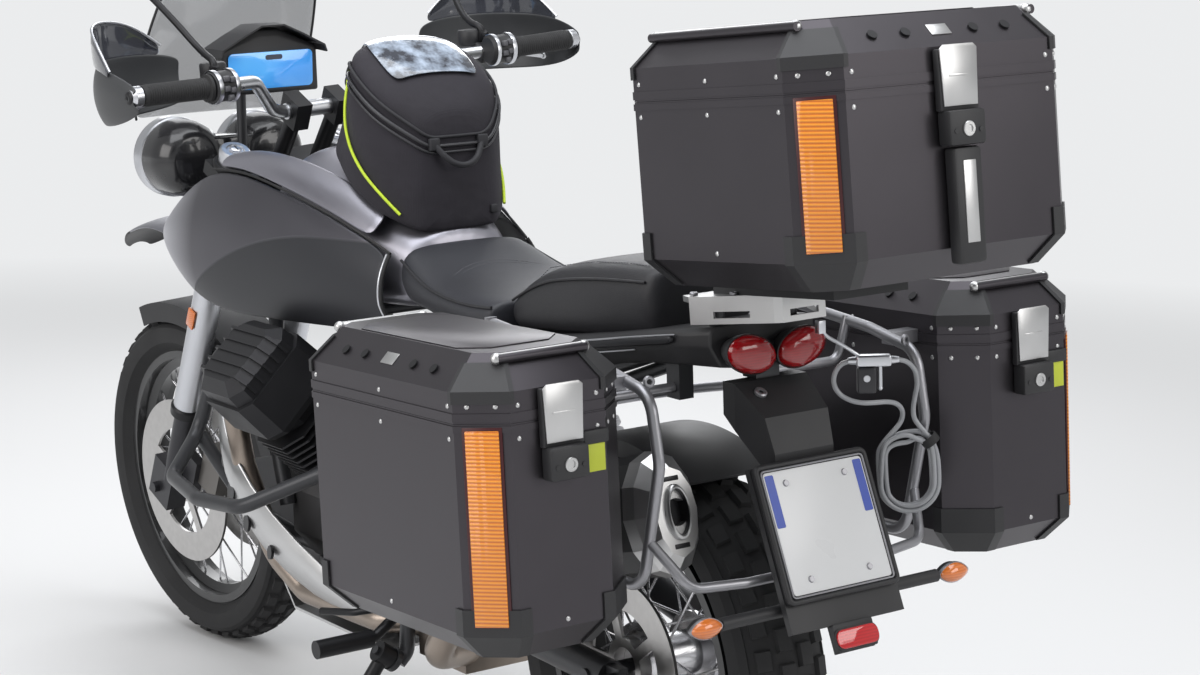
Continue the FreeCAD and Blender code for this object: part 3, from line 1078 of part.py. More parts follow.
# Side stand, down, with its foot flat on the leaning bike's floor
foot = Vector(s.stand_foot_x, s.stand_foot_y, s.stand_foot_y * LEAN_SIN / LEAN_COS - LIFT / LEAN_COS)
pad_shape = Part.makeCylinder(30, 7, Vector(), Z)
pad_shape.Placement = Placement(foot, Rotation(X, s.lean))
lug_foot = stand_pivot - stand_axis * (s.stand_lug / 2)
stand = fused([rod(stand_pivot, foot + Z * 5, 12), pad_shape, Part.makeCylinder(18, s.stand_lug, lug_foot, stand_axis)])
feature("side_stand", [stand.cut(Part.makeCylinder(7 + s.seat_gap, 80, stand_pivot - stand_axis * 40, stand_axis))])

# Check every object, then write each sub-part
doc.recompute()
failed = [obj.Label for obj in doc.Objects if "Invalid" in obj.State or "Error" in obj.State]
failed += [obj.Label for obj in subparts if obj.Shape.isNull() or not obj.Shape.isValid()]
if failed:
    raise RuntimeError("no sound shape: " + ", ".join(failed))
low = min(obj.Shape.BoundBox.ZMin for obj in subparts)
os.makedirs("parts", exist_ok=True)
for obj in subparts:
    obj.Shape.exportStep("parts/%s.step" % obj.Label)
print("nodes", len(subparts), "lowest point", round(low, 3))
for obj in subparts:
    b = obj.Shape.BoundBox
    print("%-16s %7.1f..%7.1f %7.1f..%7.1f %7.1f..%7.1f  v %.0f" % (
        obj.Label, b.XMin, b.XMax, b.YMin, b.YMax, b.ZMin, b.ZMax, obj.Shape.Volume / 1000))
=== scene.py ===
# %% [markdown]
# An adventure motorcycle with three aluminium cases, leaning on its side stand, in a pale studio.
# The construction comes ready-made: every rigid piece is loaded at its real size and place.  This
# file gives each surface its finish and models what a plain solid can't show: stitched seats, a
# padded tank bag, tread, rivets, lenses and a coiled cable lock.

# %% Load the machine
import json
import math

import bmesh
import bpy
from mathutils import Matrix, Vector


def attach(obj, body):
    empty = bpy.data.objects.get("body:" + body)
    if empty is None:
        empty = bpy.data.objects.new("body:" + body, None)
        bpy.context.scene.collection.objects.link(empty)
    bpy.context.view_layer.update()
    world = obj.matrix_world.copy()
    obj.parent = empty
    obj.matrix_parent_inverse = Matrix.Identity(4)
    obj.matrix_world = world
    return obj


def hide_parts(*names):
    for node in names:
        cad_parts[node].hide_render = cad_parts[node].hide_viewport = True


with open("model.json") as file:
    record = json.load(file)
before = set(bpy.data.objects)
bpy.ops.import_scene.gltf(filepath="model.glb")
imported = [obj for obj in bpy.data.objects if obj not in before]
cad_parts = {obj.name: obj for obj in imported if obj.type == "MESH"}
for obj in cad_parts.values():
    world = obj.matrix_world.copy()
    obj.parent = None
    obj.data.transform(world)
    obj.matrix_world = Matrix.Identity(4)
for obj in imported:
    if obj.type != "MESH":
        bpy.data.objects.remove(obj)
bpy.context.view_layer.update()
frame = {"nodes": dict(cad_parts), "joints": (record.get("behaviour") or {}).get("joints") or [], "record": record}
nodes = frame["nodes"]
joints = {joint["name"]: joint for joint in frame["joints"]}

# %% [markdown]
# A leaning machine is awkward to model on.  Everything below is drawn in millimetres on the upright
# machine, x forward from the rear axle, y to the rider's left and z up from the ground.  One matrix
# then turns millimetres into metres and leans the piece, and a second one does the same for what
# turns with the handlebar.

# %% Frames of reference
LEAN = math.radians(3.5)
STEER_TURN = math.radians(5)
RAKE = math.radians(28)
WHEELBASE = 1530
TRAIL = 128
FRONT_RADIUS, REAR_RADIUS = 329, 321
MILLIMETRE = Matrix.Scale(0.001, 4)

rear_hub = Vector(joints["rear_wheel_spin"]["pos_m"])
UPRIGHT = Matrix.Translation(rear_hub) @ Matrix.Rotation(-LEAN, 4, "X") @ MILLIMETRE
BIKE = UPRIGHT @ Matrix.Translation((0, 0, -REAR_RADIUS))

FORK_OFFSET = FRONT_RADIUS * math.sin(RAKE) - TRAIL * math.cos(RAKE)
stem_foot = Vector((WHEELBASE - FORK_OFFSET * math.cos(RAKE), 0, FRONT_RADIUS - FORK_OFFSET * math.sin(RAKE)))
stem_axis = Vector((-math.sin(RAKE), 0, math.cos(RAKE)))
to_stem = Matrix.Translation(stem_foot)
FORK = BIKE @ to_stem @ Matrix.Rotation(STEER_TURN, 4, stem_axis) @ Matrix.Rotation(-RAKE, 4, "Y")
FRONT_HUB = FORK @ Matrix.Translation((FORK_OFFSET, 0, 0))
print("front hub at", [round(v, 4) for v in FRONT_HUB.translation])


def placed(x, y, z, pitch=0.0):
    return BIKE @ Matrix.Translation((x, y, z)) @ Matrix.Rotation(math.radians(pitch), 4, "Y")


# %% [markdown]
# The camera stands behind the machine on its left, at head height, with a moderate telephoto.  Its
# place was worked out once from the machine's known sizes, so it is written in the same upright
# frame and leans over with it.

# %% Camera
CAMERA_PLACE = Vector((-3032.1, 2124.0, 1466.4))
CAMERA_RIGHT = Vector((-0.5590, -0.8286, -0.0313))
CAMERA_UP = Vector((0.1292, -0.1244, 0.9838))
FOCAL_LENGTH = 77.95

camera_data = bpy.data.cameras.new("studio_camera")
camera_data.lens = FOCAL_LENGTH
camera_data.sensor_width = 36
camera_data.sensor_fit = "HORIZONTAL"
camera = bpy.data.objects.new("studio_camera", camera_data)
bpy.context.scene.collection.objects.link(camera)
bpy.context.scene.camera = camera
turn = BIKE.to_3x3().normalized()
right = (turn @ CAMERA_RIGHT).normalized()
back = right.cross(turn @ CAMERA_UP).normalized()
up = back.cross(right)
basis = Matrix((right, up, back)).transposed().to_4x4()
camera.matrix_world = Matrix.Translation(BIKE @ CAMERA_PLACE) @ basis
print("camera at", [round(v, 3) for v in camera.matrix_world.translation])

# %% [markdown]
# Soft light from large lamps keeps black paint readable: a satin surface shows the lamp itself, so
# a broad lamp overhead draws the long highlights on the lids, the seat and the tank.  The world is
# pale for the camera and through glass, and dimmer as a light, so that shadows keep some depth.

# %% Lights and world
bpy.context.scene.view_settings.view_transform = "Standard"
PALE = (0.83, 0.84, 0.85, 1)
WORLD_AS_LIGHT, WORLD_SEEN = 0.55, 1.0
# Name, place, target and size in metres, power in watts, colour
LAMPS = (
    ("top_lamp", (-0.6, 0.4, 4.2), (0, 0, 0.8), (4.5, 3.5), 150, (0.95, 0.97, 1.0)),
    ("side_lamp", (-0.4, 4.2, 2.4), (0, 0, 0.6), (4.0, 2.4), 85, (1.0, 0.97, 0.95)),
    ("rear_lamp", (-4.6, -1.6, 2.6), (-0.4, 0, 0.7), (2.6, 2.2), 60, (1.0, 0.98, 0.96)),
    ("front_lamp", (3.6, -2.2, 2.8), (0.4, 0, 0.7), (3.0, 2.4), 70, (0.97, 0.98, 1.0)),
)


def lamp(name, place, target, size, power, colour):
    data = bpy.data.lights.new(name, "AREA")
    data.shape = "RECTANGLE"
    data.size, data.size_y = size
    data.energy = power
    data.color = colour
    made = bpy.data.objects.new(name, data)
    bpy.context.scene.collection.objects.link(made)
    aim = Vector(target) - Vector(place)
    made.matrix_world = Matrix.Translation(place) @ aim.to_track_quat("-Z", "Y").to_matrix().to_4x4()


for settings in LAMPS:
    lamp(*settings)

world = bpy.data.worlds.new("studio")
bpy.context.scene.world = world
world.use_nodes = True
sky = world.node_tree
background = sky.nodes["Background"]
background.inputs["Color"].default_value = PALE
path = sky.nodes.new("ShaderNodeLightPath")
seen = sky.nodes.new("ShaderNodeMath")
seen.operation = "MAXIMUM"
sky.links.new(path.outputs["Is Camera Ray"], seen.inputs[0])
sky.links.new(path.outputs["Is Transmission Ray"], seen.inputs[1])
strength = sky.nodes.new("ShaderNodeMapRange")
sky.links.new(seen.outputs[0], strength.inputs["Value"])
strength.inputs["To Min"].default_value = WORLD_AS_LIGHT
strength.inputs["To Max"].default_value = WORLD_SEEN
sky.links.new(strength.outputs["Result"], background.inputs["Strength"])
print("hung", len(LAMPS), "lamps")

# %% [markdown]
# The floor is one large plane.  Its finish, further down, lets it run out into the background.

# %% Floor
FLOOR_SIZE = 60


def object_from(name, made, smooth_angle=None):
    mesh = bpy.data.meshes.new(name)
    made.to_mesh(mesh)
    made.free()
    grown = bpy.data.objects.new(name, mesh)
    bpy.context.scene.collection.objects.link(grown)
    if smooth_angle is not None:
        mesh.shade_smooth()
        mesh.set_sharp_from_angle(angle=math.radians(smooth_angle))
    return grown


made = bmesh.new()
bmesh.ops.create_grid(made, x_segments=1, y_segments=1, size=FLOOR_SIZE / 2)
floor = object_from("studio_floor", made)
print("floor laid,", FLOOR_SIZE, "m across")

# %% [markdown]
# Finishes are made of shader nodes.  Writing them one by one hides the idea behind the wiring, so a
# small class wraps a node's socket and lets Python's own arithmetic make the Math nodes.  `Finish`
# then holds one material: its `node` method makes any other node, and `done` feeds the main shader.

# %% Shader arithmetic
class Socket:
    def __init__(self, finish, socket):
        self.finish = finish
        self.socket = socket

    def maths(self, operation, *values):
        return self.finish.node("ShaderNodeMath", {"operation": operation}, values)

    def __add__(self, other):
        return self.maths("ADD", self, other)

    def __radd__(self, other):
        return self.maths("ADD", other, self)

    def __sub__(self, other):
        return self.maths("SUBTRACT", self, other)

    def __rsub__(self, other):
        return self.maths("SUBTRACT", other, self)

    def __mul__(self, other):
        return self.maths("MULTIPLY", self, other)

    def __rmul__(self, other):
        return self.maths("MULTIPLY", other, self)

    def __truediv__(self, other):
        return self.maths("DIVIDE", self, other)

    def __abs__(self):
        return self.maths("ABSOLUTE", self)

    def fraction(self):
        return self.maths("FRACT", self)


class Finish:
    def __init__(self, name):
        self.material = bpy.data.materials.new(name)
        self.material.use_nodes = True
        self.tree = self.material.node_tree
        self.shader = self.tree.nodes["Principled BSDF"]

    def node(self, kind, settings=None, values=(), out=0):
        made = self.tree.nodes.new(kind)
        for key, value in (settings or {}).items():
            setattr(made, key, value)
        pairs = values.items() if isinstance(values, dict) else enumerate(values)
        for key, value in pairs:
            if isinstance(value, Socket):
                self.tree.links.new(value.socket, made.inputs[key])
            elif value is not None:
                made.inputs[key].default_value = value
        return Socket(self, made.outputs[out])

    def place(self):
        return self.node("ShaderNodeTexCoord", out="Object")

    def turned(self, turn=(0, 0, 0), scale=(1, 1, 1), centre=(0, 0, 0)):
        settings = {"vector_type": "TEXTURE"}
        values = {"Vector": self.place(), "Location": centre, "Rotation": turn, "Scale": scale}
        return self.node("ShaderNodeMapping", settings, values)

    def noise(self, scale, detail=2.0, vector=None, roughness=0.5):
        values = {"Vector": vector or self.place(), "Scale": scale, "Detail": detail, "Roughness": roughness}
        return self.node("ShaderNodeTexNoise", None, values)

    def cells(self, scale, vector=None, feature="F1"):
        values = {"Vector": vector or self.place(), "Scale": scale}
        return self.node("ShaderNodeTexVoronoi", {"feature": feature}, values)

    def axis(self, vector, name):
        return self.node("ShaderNodeSeparateXYZ", None, (vector,), out=name)

    def maximum(self, one, two):
        return self.node("ShaderNodeMath", {"operation": "MAXIMUM"}, (one, two))

    def between(self, low, high, factor):
        settings = {"data_type": "RGBA"}
        return self.node("ShaderNodeMix", settings, {0: factor, 6: low, 7: high}, out=2)

    def spread(self, value, low, high, to_low=0.0, to_high=1.0):
        values = {"Value": value, "From Min": low, "From Max": high, "To Min": to_low, "To Max": to_high}
        return self.node("ShaderNodeMapRange", {"clamp": True}, values)

    def bump(self, height, strength=0.3, distance=0.001, normal=None):
        values = {"Height": height, "Strength": strength, "Distance": distance, "Normal": normal}
        return self.node("ShaderNodeBump", None, values)

    def done(self, **inputs):
        for key, value in inputs.items():
            target = self.shader.inputs[key.replace("_", " ").title().replace("Ior", "IOR")]
            if isinstance(value, Socket):
                self.tree.links.new(value.socket, target)
            else:
                target.default_value = value
        return self.material


def grey(level, alpha=1.0):
    return (level, level, level, alpha)


# %% [markdown]
# The floor's finish is the first one: matt and pale round the machine, where it keeps the shadow.
# Farther out it fades into the tone of the background, which it then gives off by itself, so that
# floor and background meet without a line.

# %% Floor finish
FADE_FROM, FADE_TO = 2.2, 7.5
FLOOR_AS_LIGHT, FLOOR_SEEN = grey(0.5), grey(0.74)


def studio_floor_finish():
    finish = Finish("studio_floor")
    camera_ray, glossy_ray, clear_ray = (finish.node("ShaderNodeLightPath", out=f"Is {ray} Ray")
                                         for ray in ("Camera", "Glossy", "Transmission"))
    seen = finish.maximum(finish.maximum(camera_ray, glossy_ray), clear_ray)
    distance = finish.node("ShaderNodeVectorMath", {"operation": "LENGTH"}, (finish.place(),), out="Value")
    far = finish.spread(distance, FADE_FROM, FADE_TO) * seen
    near_colour = finish.between(FLOOR_AS_LIGHT, FLOOR_SEEN, seen)
    return finish.done(base_color=finish.between(near_colour, grey(0), far), roughness=0.9,
                       specular_ior_level=0, emission_color=finish.between(grey(0), PALE, far),
                       emission_strength=1)


floor.data.materials.append(studio_floor_finish())
print("floor fades out from", FADE_FROM, "to", FADE_TO, "m")

# %% [markdown]
# The security cable is the one thing here that hangs by itself.  It is one fixed length of sheathed
# steel rope, both ends in a small lock that hangs from the rack's hook, its middle wound into a coil
# of four turns that a strap holds against the rack.  The cord comes early, because the whole
# machine is packed round it.  Two short routes are listed; the turns come by a loop.

# %% Security cable
LOCK = Vector((-335, -119, 797))
CABLE_ACROSS = Vector((-0.56, -0.83, 0)).normalized()
CABLE_INWARD = Vector((0.83, -0.56, 0)).normalized()
UP = Vector((0, 0, 1))
COIL_MIDDLE = Vector((54, -166, 48))
COIL_RADIUS, COIL_RUN = 38, 36
CABLE_RADIUS = 3.5
STRAND_OFFSET = 5.1
COIL_TURNS, POINTS_A_TURN, LEAD_IN = 4, 16, 3
TURN_DROP = (0, 3, 12, 5)
FIRST_END = ((-22, 0, 0), (-37, 0, 0), (-50, -12, 0), (-54, -29, 0), (-47, -45, 0), (-32, -55, 0),
             (-14, -60, 2), (5, -61, 8), (23, -62, 18), (38, -68, 30), (46, -80, 41), (46, -93, 48),
             (40, -104, 48))
SECOND_END = ((26, 0, 0), (42, 0, 0), (56, -11, 14), (64, -26, 26), (66, -44, 36), (63, -62, 44),
              (61, -80, 48), (62, -93, 48), (69, -104, 48))


def by_lock(across, up, inward=0.0):
    """Millimetres from the lock: across the view, up, and in towards the machine."""
    return LOCK + CABLE_ACROSS * across + UP * up + CABLE_INWARD * inward


def coil_points():
    points = []
    for step in range(LEAD_IN, COIL_TURNS * POINTS_A_TURN - LEAD_IN + 1):
        angle = math.tau * step / POINTS_A_TURN
        turn = min(COIL_TURNS - 1, step // POINTS_A_TURN)
        phase = math.pi / 2 * step / POINTS_A_TURN
        drop = TURN_DROP[turn] * max(0.0, math.cos(angle)) ** 2
        reach = COIL_RADIUS + STRAND_OFFSET * math.cos(phase)
        straight = COIL_RUN / 2 * (1 if math.cos(angle) > 0 else -1)
        points.append(by_lock(COIL_MIDDLE.x - reach * math.sin(angle),
                              COIL_MIDDLE.y + straight + reach * math.cos(angle) - drop,
                              COIL_MIDDLE.z + STRAND_OFFSET * math.sin(phase)))
    return points


first_end = [by_lock(*point) for point in FIRST_END]
second_end = [by_lock(*point) for point in reversed(SECOND_END)]
route = first_end + coil_points() + second_end
curve = bpy.data.curves.new("security_cable_line", "CURVE")
curve.dimensions = "3D"
curve.bevel_depth = CABLE_RADIUS / 1000
curve.bevel_resolution = 4
spline = curve.splines.new("NURBS")
spline.points.add(len(route) - 1)
for point, place in zip(spline.points, route):
    point.co = (*(BIKE @ place), 1)
spline.order_u = 3
spline.use_endpoint_u = True
spline.resolution_u = 6
cable = bpy.data.objects.new("security_cable_line", curve)
bpy.context.scene.collection.objects.link(cable)
centre_line = curve.copy()
centre_line.bevel_depth = 0
holder = bpy.data.objects.new("centre_line", centre_line)
line_mesh = bpy.data.meshes.new_from_object(holder)
bpy.data.objects.remove(holder)
bpy.data.curves.remove(centre_line)
bpy.data.meshes.remove(line_mesh)

# %% [markdown]
# Most finishes of a machine differ in a few numbers only: colour, how metallic and how rough they
# are, how much the tone drifts over a hand's width, and the size and depth of the grain.  One recipe
# takes those numbers, in millimetres, and reads Object coordinates, which run on across all pieces.

# %% A recipe for painted, cast, brushed and moulded surfaces
ROUGHNESS_DRIFT, GRAIN_STRENGTH = 0.12, 0.6


def tinted(colour, share):
    return tuple(min(1.0, c * share) for c in colour[:3]) + (1,)


def upright_vector(finish, scale=(1, 1, 1)):
    """Object coordinates turned back upright, so that ribs and grain lean with the machine."""
    return finish.turned(turn=(-LEAN, 0, 0), scale=scale)


def surface(name, colour, metallic, roughness, drift=0.1, patch=60, grain=0, depth=0, coat=0,
            stretch=(1, 1, 1)):
    finish = Finish(name)
    vector = upright_vector(finish, stretch)
    patches = finish.noise(1000 / patch, 3, vector)
    colour_drift = finish.between(tinted(colour, 1 - drift), tinted(colour, 1 + drift), patches)
    inputs = {"base_color": colour_drift, "metallic": metallic, "coat_weight": coat}
    smooth, rough = roughness * (1 - ROUGHNESS_DRIFT), roughness * (1 + ROUGHNESS_DRIFT)
    inputs["roughness"] = finish.spread(patches, 0.25, 0.75, smooth, min(1, rough))
    if grain:
        height = finish.noise(1000 / grain, 2, vector)
        inputs["normal"] = finish.bump(height, GRAIN_STRENGTH, depth / 1000)
    return finish.done(**inputs)


ALONG = (12, 1, 1)
# Colour, metallic, roughness, share of drift, then patch, grain and depth in millimetres
FINISHES = {
    "tyre": surface("tyre_rubber", (0.020, 0.020, 0.021), 0, 0.78, 0.25, 90, 1.2, 0.15),
    "rim": surface("rim_paint", (0.012, 0.012, 0.013), 0.2, 0.32, 0.2, 80, coat=0.5),
    "spokes": surface("spoke_steel", (0.66, 0.66, 0.68), 1, 0.24, 0.08, 30),
    "disc": surface("disc_steel", (0.50, 0.49, 0.48), 1, 0.33, 0.15, 14, 0.6, 0.03),
    "fork_silver": surface("fork_silver", (0.60, 0.61, 0.64), 1, 0.30, 0.05, 70),
    "fork_dark": surface("fork_dark", (0.045, 0.045, 0.05), 0.6, 0.38, 0.12, 60, 0.8, 0.03),
    "caliper": surface("caliper_paint", (0.17, 0.16, 0.15), 0.7, 0.42, 0.1, 40, 0.8, 0.05),
    "black_metal": surface("black_metal", (0.018, 0.018, 0.02), 0.5, 0.40, 0.15, 60, 0.7, 0.03),
    "bar_silver": surface("bar_silver", (0.58, 0.59, 0.61), 1, 0.30, 0.05, 50),
    "rubber": surface("grip_rubber", (0.017, 0.017, 0.018), 0, 0.72, 0.15, 40, 1.0, 0.1),
    "black_plastic": surface("black_plastic", (0.021, 0.021, 0.023), 0, 0.52, 0.12, 120, 0.9, 0.08),
    "frame_grey": surface("frame_paint", (0.045, 0.046, 0.05), 0.4, 0.36, 0.1, 90, 0.9, 0.03),
    "engine_grey": surface("cast_grey", (0.15, 0.15, 0.155), 0.8, 0.50, 0.14, 70, 1.1, 0.16),
    "engine_dark": surface("cast_black", (0.030, 0.030, 0.033), 0.6, 0.48, 0.16, 70, 1.1, 0.14),
    "bare_aluminium": surface("satin_aluminium", (0.56, 0.56, 0.56), 1, 0.36, 0.06, 40, 0.7, 0.02,
                              stretch=ALONG),
    "exhaust": surface("exhaust_steel", (0.33, 0.28, 0.24), 1, 0.34, 0.3, 110, 0.8, 0.02),
    "spring": surface("spring_enamel", (0.50, 0.50, 0.52), 0.3, 0.30, 0.05, 30),
    "tank_grey": surface("matt_anthracite", (0.042, 0.043, 0.047), 0.55, 0.44, 0.08, 240, 0.5, 0.015),
    # On the tank this lilac silver is a painted reflection of the sky on the upward facets of its shoulders and
    # ridge.
    "tank_silver": surface("lilac_silver", (0.36, 0.355, 0.40), 0.85, 0.36, 0.05, 200, 0.5, 0.01),
    "bag_fabric": surface("bag_cloth", (0.019, 0.017, 0.024), 0, 0.82, 0.2, 60, 1.6, 0.3),
    "seat": surface("seat_hide", (0.022, 0.022, 0.026), 0, 0.46, 0.15, 80, 2.2, 0.2),
    "red_lens": surface("red_lens", (0.42, 0.008, 0.010), 0, 0.10, 0.1, 30, coat=1),
    "orange_lens": surface("orange_lens", (0.80, 0.16, 0.02), 0, 0.16, 0.1, 30, coat=1),
    "plate": surface("plate_enamel", (0.78, 0.79, 0.80), 0, 0.30, 0.02, 90),
    "case_aluminium": surface("case_black", (0.066, 0.061, 0.068), 0.85, 0.36, 0.12, 170, 0.6, 0.02),
    "rack_silver": surface("rack_silver", (0.34, 0.34, 0.36), 0.8, 0.38, 0.06, 60, 0.8, 0.02),
    "cable_grey": surface("cable_sheath", (0.33, 0.34, 0.36), 0, 0.34, 0.1, 12, coat=0.4),
    "lamp": surface("lamp_black", (0.015, 0.015, 0.017), 0.1, 0.25, 0.1, 60, coat=0.6),
}


def screen_finish():
    finish = Finish("smoked_screen")
    haze = finish.noise(14, 3)
    return finish.done(base_color=(0.16, 0.13, 0.13, 1), roughness=finish.spread(haze, 0.3, 0.7, 0.05, 0.12),
                       transmission_weight=0.75, ior=1.45, alpha=0.72)


FINISHES["screen"] = screen_finish()
print("mixed", len(FINISHES), "finishes")

# %% [markdown]
# Every node names its material slot in the record, so the right finish reaches each one by a loop.

# %% Finish every loaded node
SLOT_OF = {part["node"]: part["material_slot"] for part in frame["record"]["subparts"]}
for name, node in nodes.items():
    for slot in node.material_slots:
        slot.material = FINISHES[SLOT_OF[name]]
print("finished", len(nodes), "nodes")

# %% [markdown]
# Most small pieces are joined from a few forms: a box with eased edges, a rod or a cone, a turned
# profile, a bent pipe and a flattened ball.  Larger ones are a closed skin over rings of points, or
# an open shell through columns of points that is then given a wall.  Each helper adds its form to an
# open bmesh, so that a whole family of screws or rivets becomes one mesh.  `piece` then moves the
# mesh from millimetres to its place, gives it a finish and lets it ride on a body.

# %% Helpers: forms
def box(made, low, high, bevel=0.0, steps=2, turn=None):
    grown = bmesh.ops.create_cube(made, size=1)["verts"]
    size = [b - a for a, b in zip(low, high)]
    middle = Matrix.Translation([(a + b) / 2 for a, b in zip(low, high)])
    matrix = (turn or Matrix()) @ middle @ Matrix.Diagonal((*size, 1))
    bmesh.ops.transform(made, matrix=matrix, verts=grown)
    if bevel:
        edges = list({edge for vert in grown for edge in vert.link_edges})
        bmesh.ops.bevel(made, geom=edges, offset=bevel, segments=steps, profile=0.5, affect="EDGES",
                        material=-1)


def aimed(start, end):
    start, end = Vector(start), Vector(end)
    return Matrix.Translation(start) @ (end - start).to_track_quat("Z", "Y").to_matrix().to_4x4()


def rod(made, start, end, radius, tip=None, steps=16):
    length = (Vector(end) - Vector(start)).length
    matrix = aimed(start, end) @ Matrix.Translation((0, 0, length / 2))
    bmesh.ops.create_cone(made, cap_ends=True, segments=steps, radius1=radius,
                          radius2=radius if tip is None else tip, depth=length, matrix=matrix)


def ball(made, centre, size, steps=12, turn=None):
    matrix = Matrix.Translation(centre) @ (turn or Matrix()) @ Matrix.Diagonal((*size, 1))
    bmesh.ops.create_uvsphere(made, u_segments=steps, v_segments=max(6, steps // 2), radius=1, matrix=matrix)


def join(made, other, space=None):
    """Adds one bmesh to another and frees it."""
    if space is not None:
        bmesh.ops.transform(other, matrix=space, verts=other.verts)
    mesh = bpy.data.meshes.new("joined")
    other.to_mesh(mesh)
    other.free()
    made.from_mesh(mesh)
    bpy.data.meshes.remove(mesh)


def turned_profile(made, profile, start, end, steps=32):
    lathe = bmesh.new()
    chain = [lathe.verts.new((radius, 0, up)) for up, radius in profile]
    links = [lathe.edges.new(pair) for pair in zip(chain, chain[1:])]
    bmesh.ops.spin(lathe, geom=chain + links, cent=(0, 0, 0), axis=(0, 0, 1), angle=math.tau,
                   steps=steps, use_merge=True)
    bmesh.ops.remove_doubles(lathe, verts=lathe.verts, dist=0.001)
    bmesh.ops.recalc_face_normals(lathe, faces=lathe.faces)
    join(made, lathe, aimed(start, end))


def turned_in(made, profile, space, steps):
    """A lathe form about z in a space of its own, which may flatten it."""
    form = bmesh.new()
    turned_profile(form, profile, (0, 0, 0), (0, 0, 1), steps)
    join(made, form, space)


def pipe(made, points, radius, sides=10, closed=False, sharp=False, scales=None):
    curve = bpy.data.curves.new("pipe", "CURVE")
    curve.dimensions = "3D"
    curve.bevel_depth = radius
    curve.bevel_resolution = max(1, sides // 2 - 1)
    curve.use_fill_caps = not closed
    spline = curve.splines.new("POLY" if sharp else "NURBS")
    spline.points.add(len(points) - 1)
    for k, point in enumerate(points):
        spline.points[k].co = (*point, 1)
        spline.points[k].radius = scales[k] if scales else 1
    spline.use_cyclic_u = closed
    if not sharp:
        spline.order_u = 3
        spline.use_endpoint_u = not closed
        spline.resolution_u = 5
    holder = bpy.data.objects.new("pipe", curve)
    mesh = bpy.data.meshes.new_from_object(holder)
    made.from_mesh(mesh)
    bpy.data.objects.remove(holder)
    bpy.data.curves.remove(curve)
    bpy.data.meshes.remove(mesh)


def ring(made, points, closed=True):
    corners = [made.verts.new(point) for point in points]
    pairs = list(zip(corners, corners[1:])) + ([(corners[-1], corners[0])] if closed else [])
    return [made.edges.new(pair) for pair in pairs]


def skin(made, sections, capped=True):
    rings = [ring(made, points) for points in sections]
    for one, two in zip(rings, rings[1:]):
        bmesh.ops.bridge_loops(made, edges=one + two)
    if capped:
        for end in (rings[0], rings[-1]):
            bmesh.ops.contextual_create(made, geom=end)
    return rings


def shell(made, columns, wall, outward):
    """An open skin through columns of points, whose wall grows away from the outward side."""
    sheet = bmesh.new()
    rings = [ring(sheet, column, closed=False) for column in columns]
    for one, two in zip(rings, rings[1:]):
        bmesh.ops.bridge_loops(sheet, edges=one + two)
    bmesh.ops.recalc_face_normals(sheet, faces=sheet.faces)
    if sum(face.normal.dot(outward) for face in sheet.faces) < 0:
        bmesh.ops.reverse_faces(sheet, faces=sheet.faces)
    bmesh.ops.solidify(sheet, geom=list(sheet.faces), thickness=-wall)
    join(made, sheet)


def plate(made, outline, thickness, space=None, bevel=0.0):
    """A flat sheet from its outline in x and y, raised along z."""
    sheet = bmesh.new()
    face = bmesh.ops.contextual_create(sheet, geom=ring(sheet, [(x, y, 0) for x, y in outline]))["faces"][0]
    grown = bmesh.ops.extrude_face_region(sheet, geom=[face])["geom"]
    raised = [part for part in grown if isinstance(part, bmesh.types.BMVert)]
    bmesh.ops.translate(sheet, verts=raised, vec=(0, 0, thickness))
    if bevel:
        bmesh.ops.bevel(sheet, geom=list(sheet.edges), offset=bevel, segments=2, profile=0.5, affect="EDGES",
                        material=-1)
    bmesh.ops.recalc_face_normals(sheet, faces=sheet.faces)
    join(made, sheet, space)


# %% [markdown]
# A piece may also be smoothed by Subdivision Surface; its levels are the same for the viewport and
# for the render, so that every export sees the same shape.

# %% Helpers: pieces
def piece(name, made, space, body, slot, angle=35, finish=None, stands_for=(), smoothing=0):
    bmesh.ops.recalc_face_normals(made, faces=made.faces)
    bmesh.ops.transform(made, matrix=space, verts=made.verts)
    grown = object_from(name, made, angle)
    grown.data.materials.append(finish or FINISHES[slot])
    if smoothing:
        soften = grown.modifiers.new("soften", "SUBSURF")
        soften.levels = soften.render_levels = smoothing
    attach(grown, body)
    for node in stands_for:
        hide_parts(node)
    return grown


def mirrored(points):
    return [(x, -y, z) for x, y, z in points]


def whole_section(x, half, *crest):
    """A section across the machine from its left half, which is listed from the foot up."""
    return mirrored([(x, y, z) for y, z in half]) + list(crest) + [(x, y, z) for y, z in reversed(half)]


print("helpers ready")

# %% [markdown]
# The cable's sheath is grey plastic over steel strands.  Its lock has a bright cap, a dark body and
# the key's leg; it hangs on a bent hook below the rack's lip.  A collar on the rack tube and a strap
# hold the coil.

# %% Cable, lock and strap
cable.data.materials.append(FINISHES["cable_grey"])
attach(cable, "chassis")
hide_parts("security_cable", "cable_coil")

lock_turn = Matrix((CABLE_ACROSS, -CABLE_INWARD, UP)).transposed().to_4x4()
LOCK_SPACE = BIKE @ Matrix.Translation(LOCK) @ lock_turn
LOCK_BLACK = surface("lock_black", (0.03, 0.03, 0.034), 0.1, 0.35, 0.1, 20)
KEY_LEG = 11

bright, dark = bmesh.new(), bmesh.new()
box(bright, (-22, -9, -8), (26, 9, 8), 3, 3)
box(dark, (-21, -8, -45), (5, 8, -9), 3, 3)
rod(bright, (KEY_LEG, 0, -8), (KEY_LEG, 0, -38), 3)
ball(bright, (KEY_LEG, 0, -39), (3.4, 3.4, 3.4), 12)
rod(bright, (-8, 8, -24), (-8, 9.2, -24), 5, 4.6, 20)
piece("cable_lock_body", dark, LOCK_SPACE, "chassis", "cable_grey", 35, finish=LOCK_BLACK)
piece("cable_lock_cap", bright, LOCK_SPACE, "chassis", "cable_grey", 35, finish=FINISHES["fork_silver"],
      stands_for=("cable_lock",))

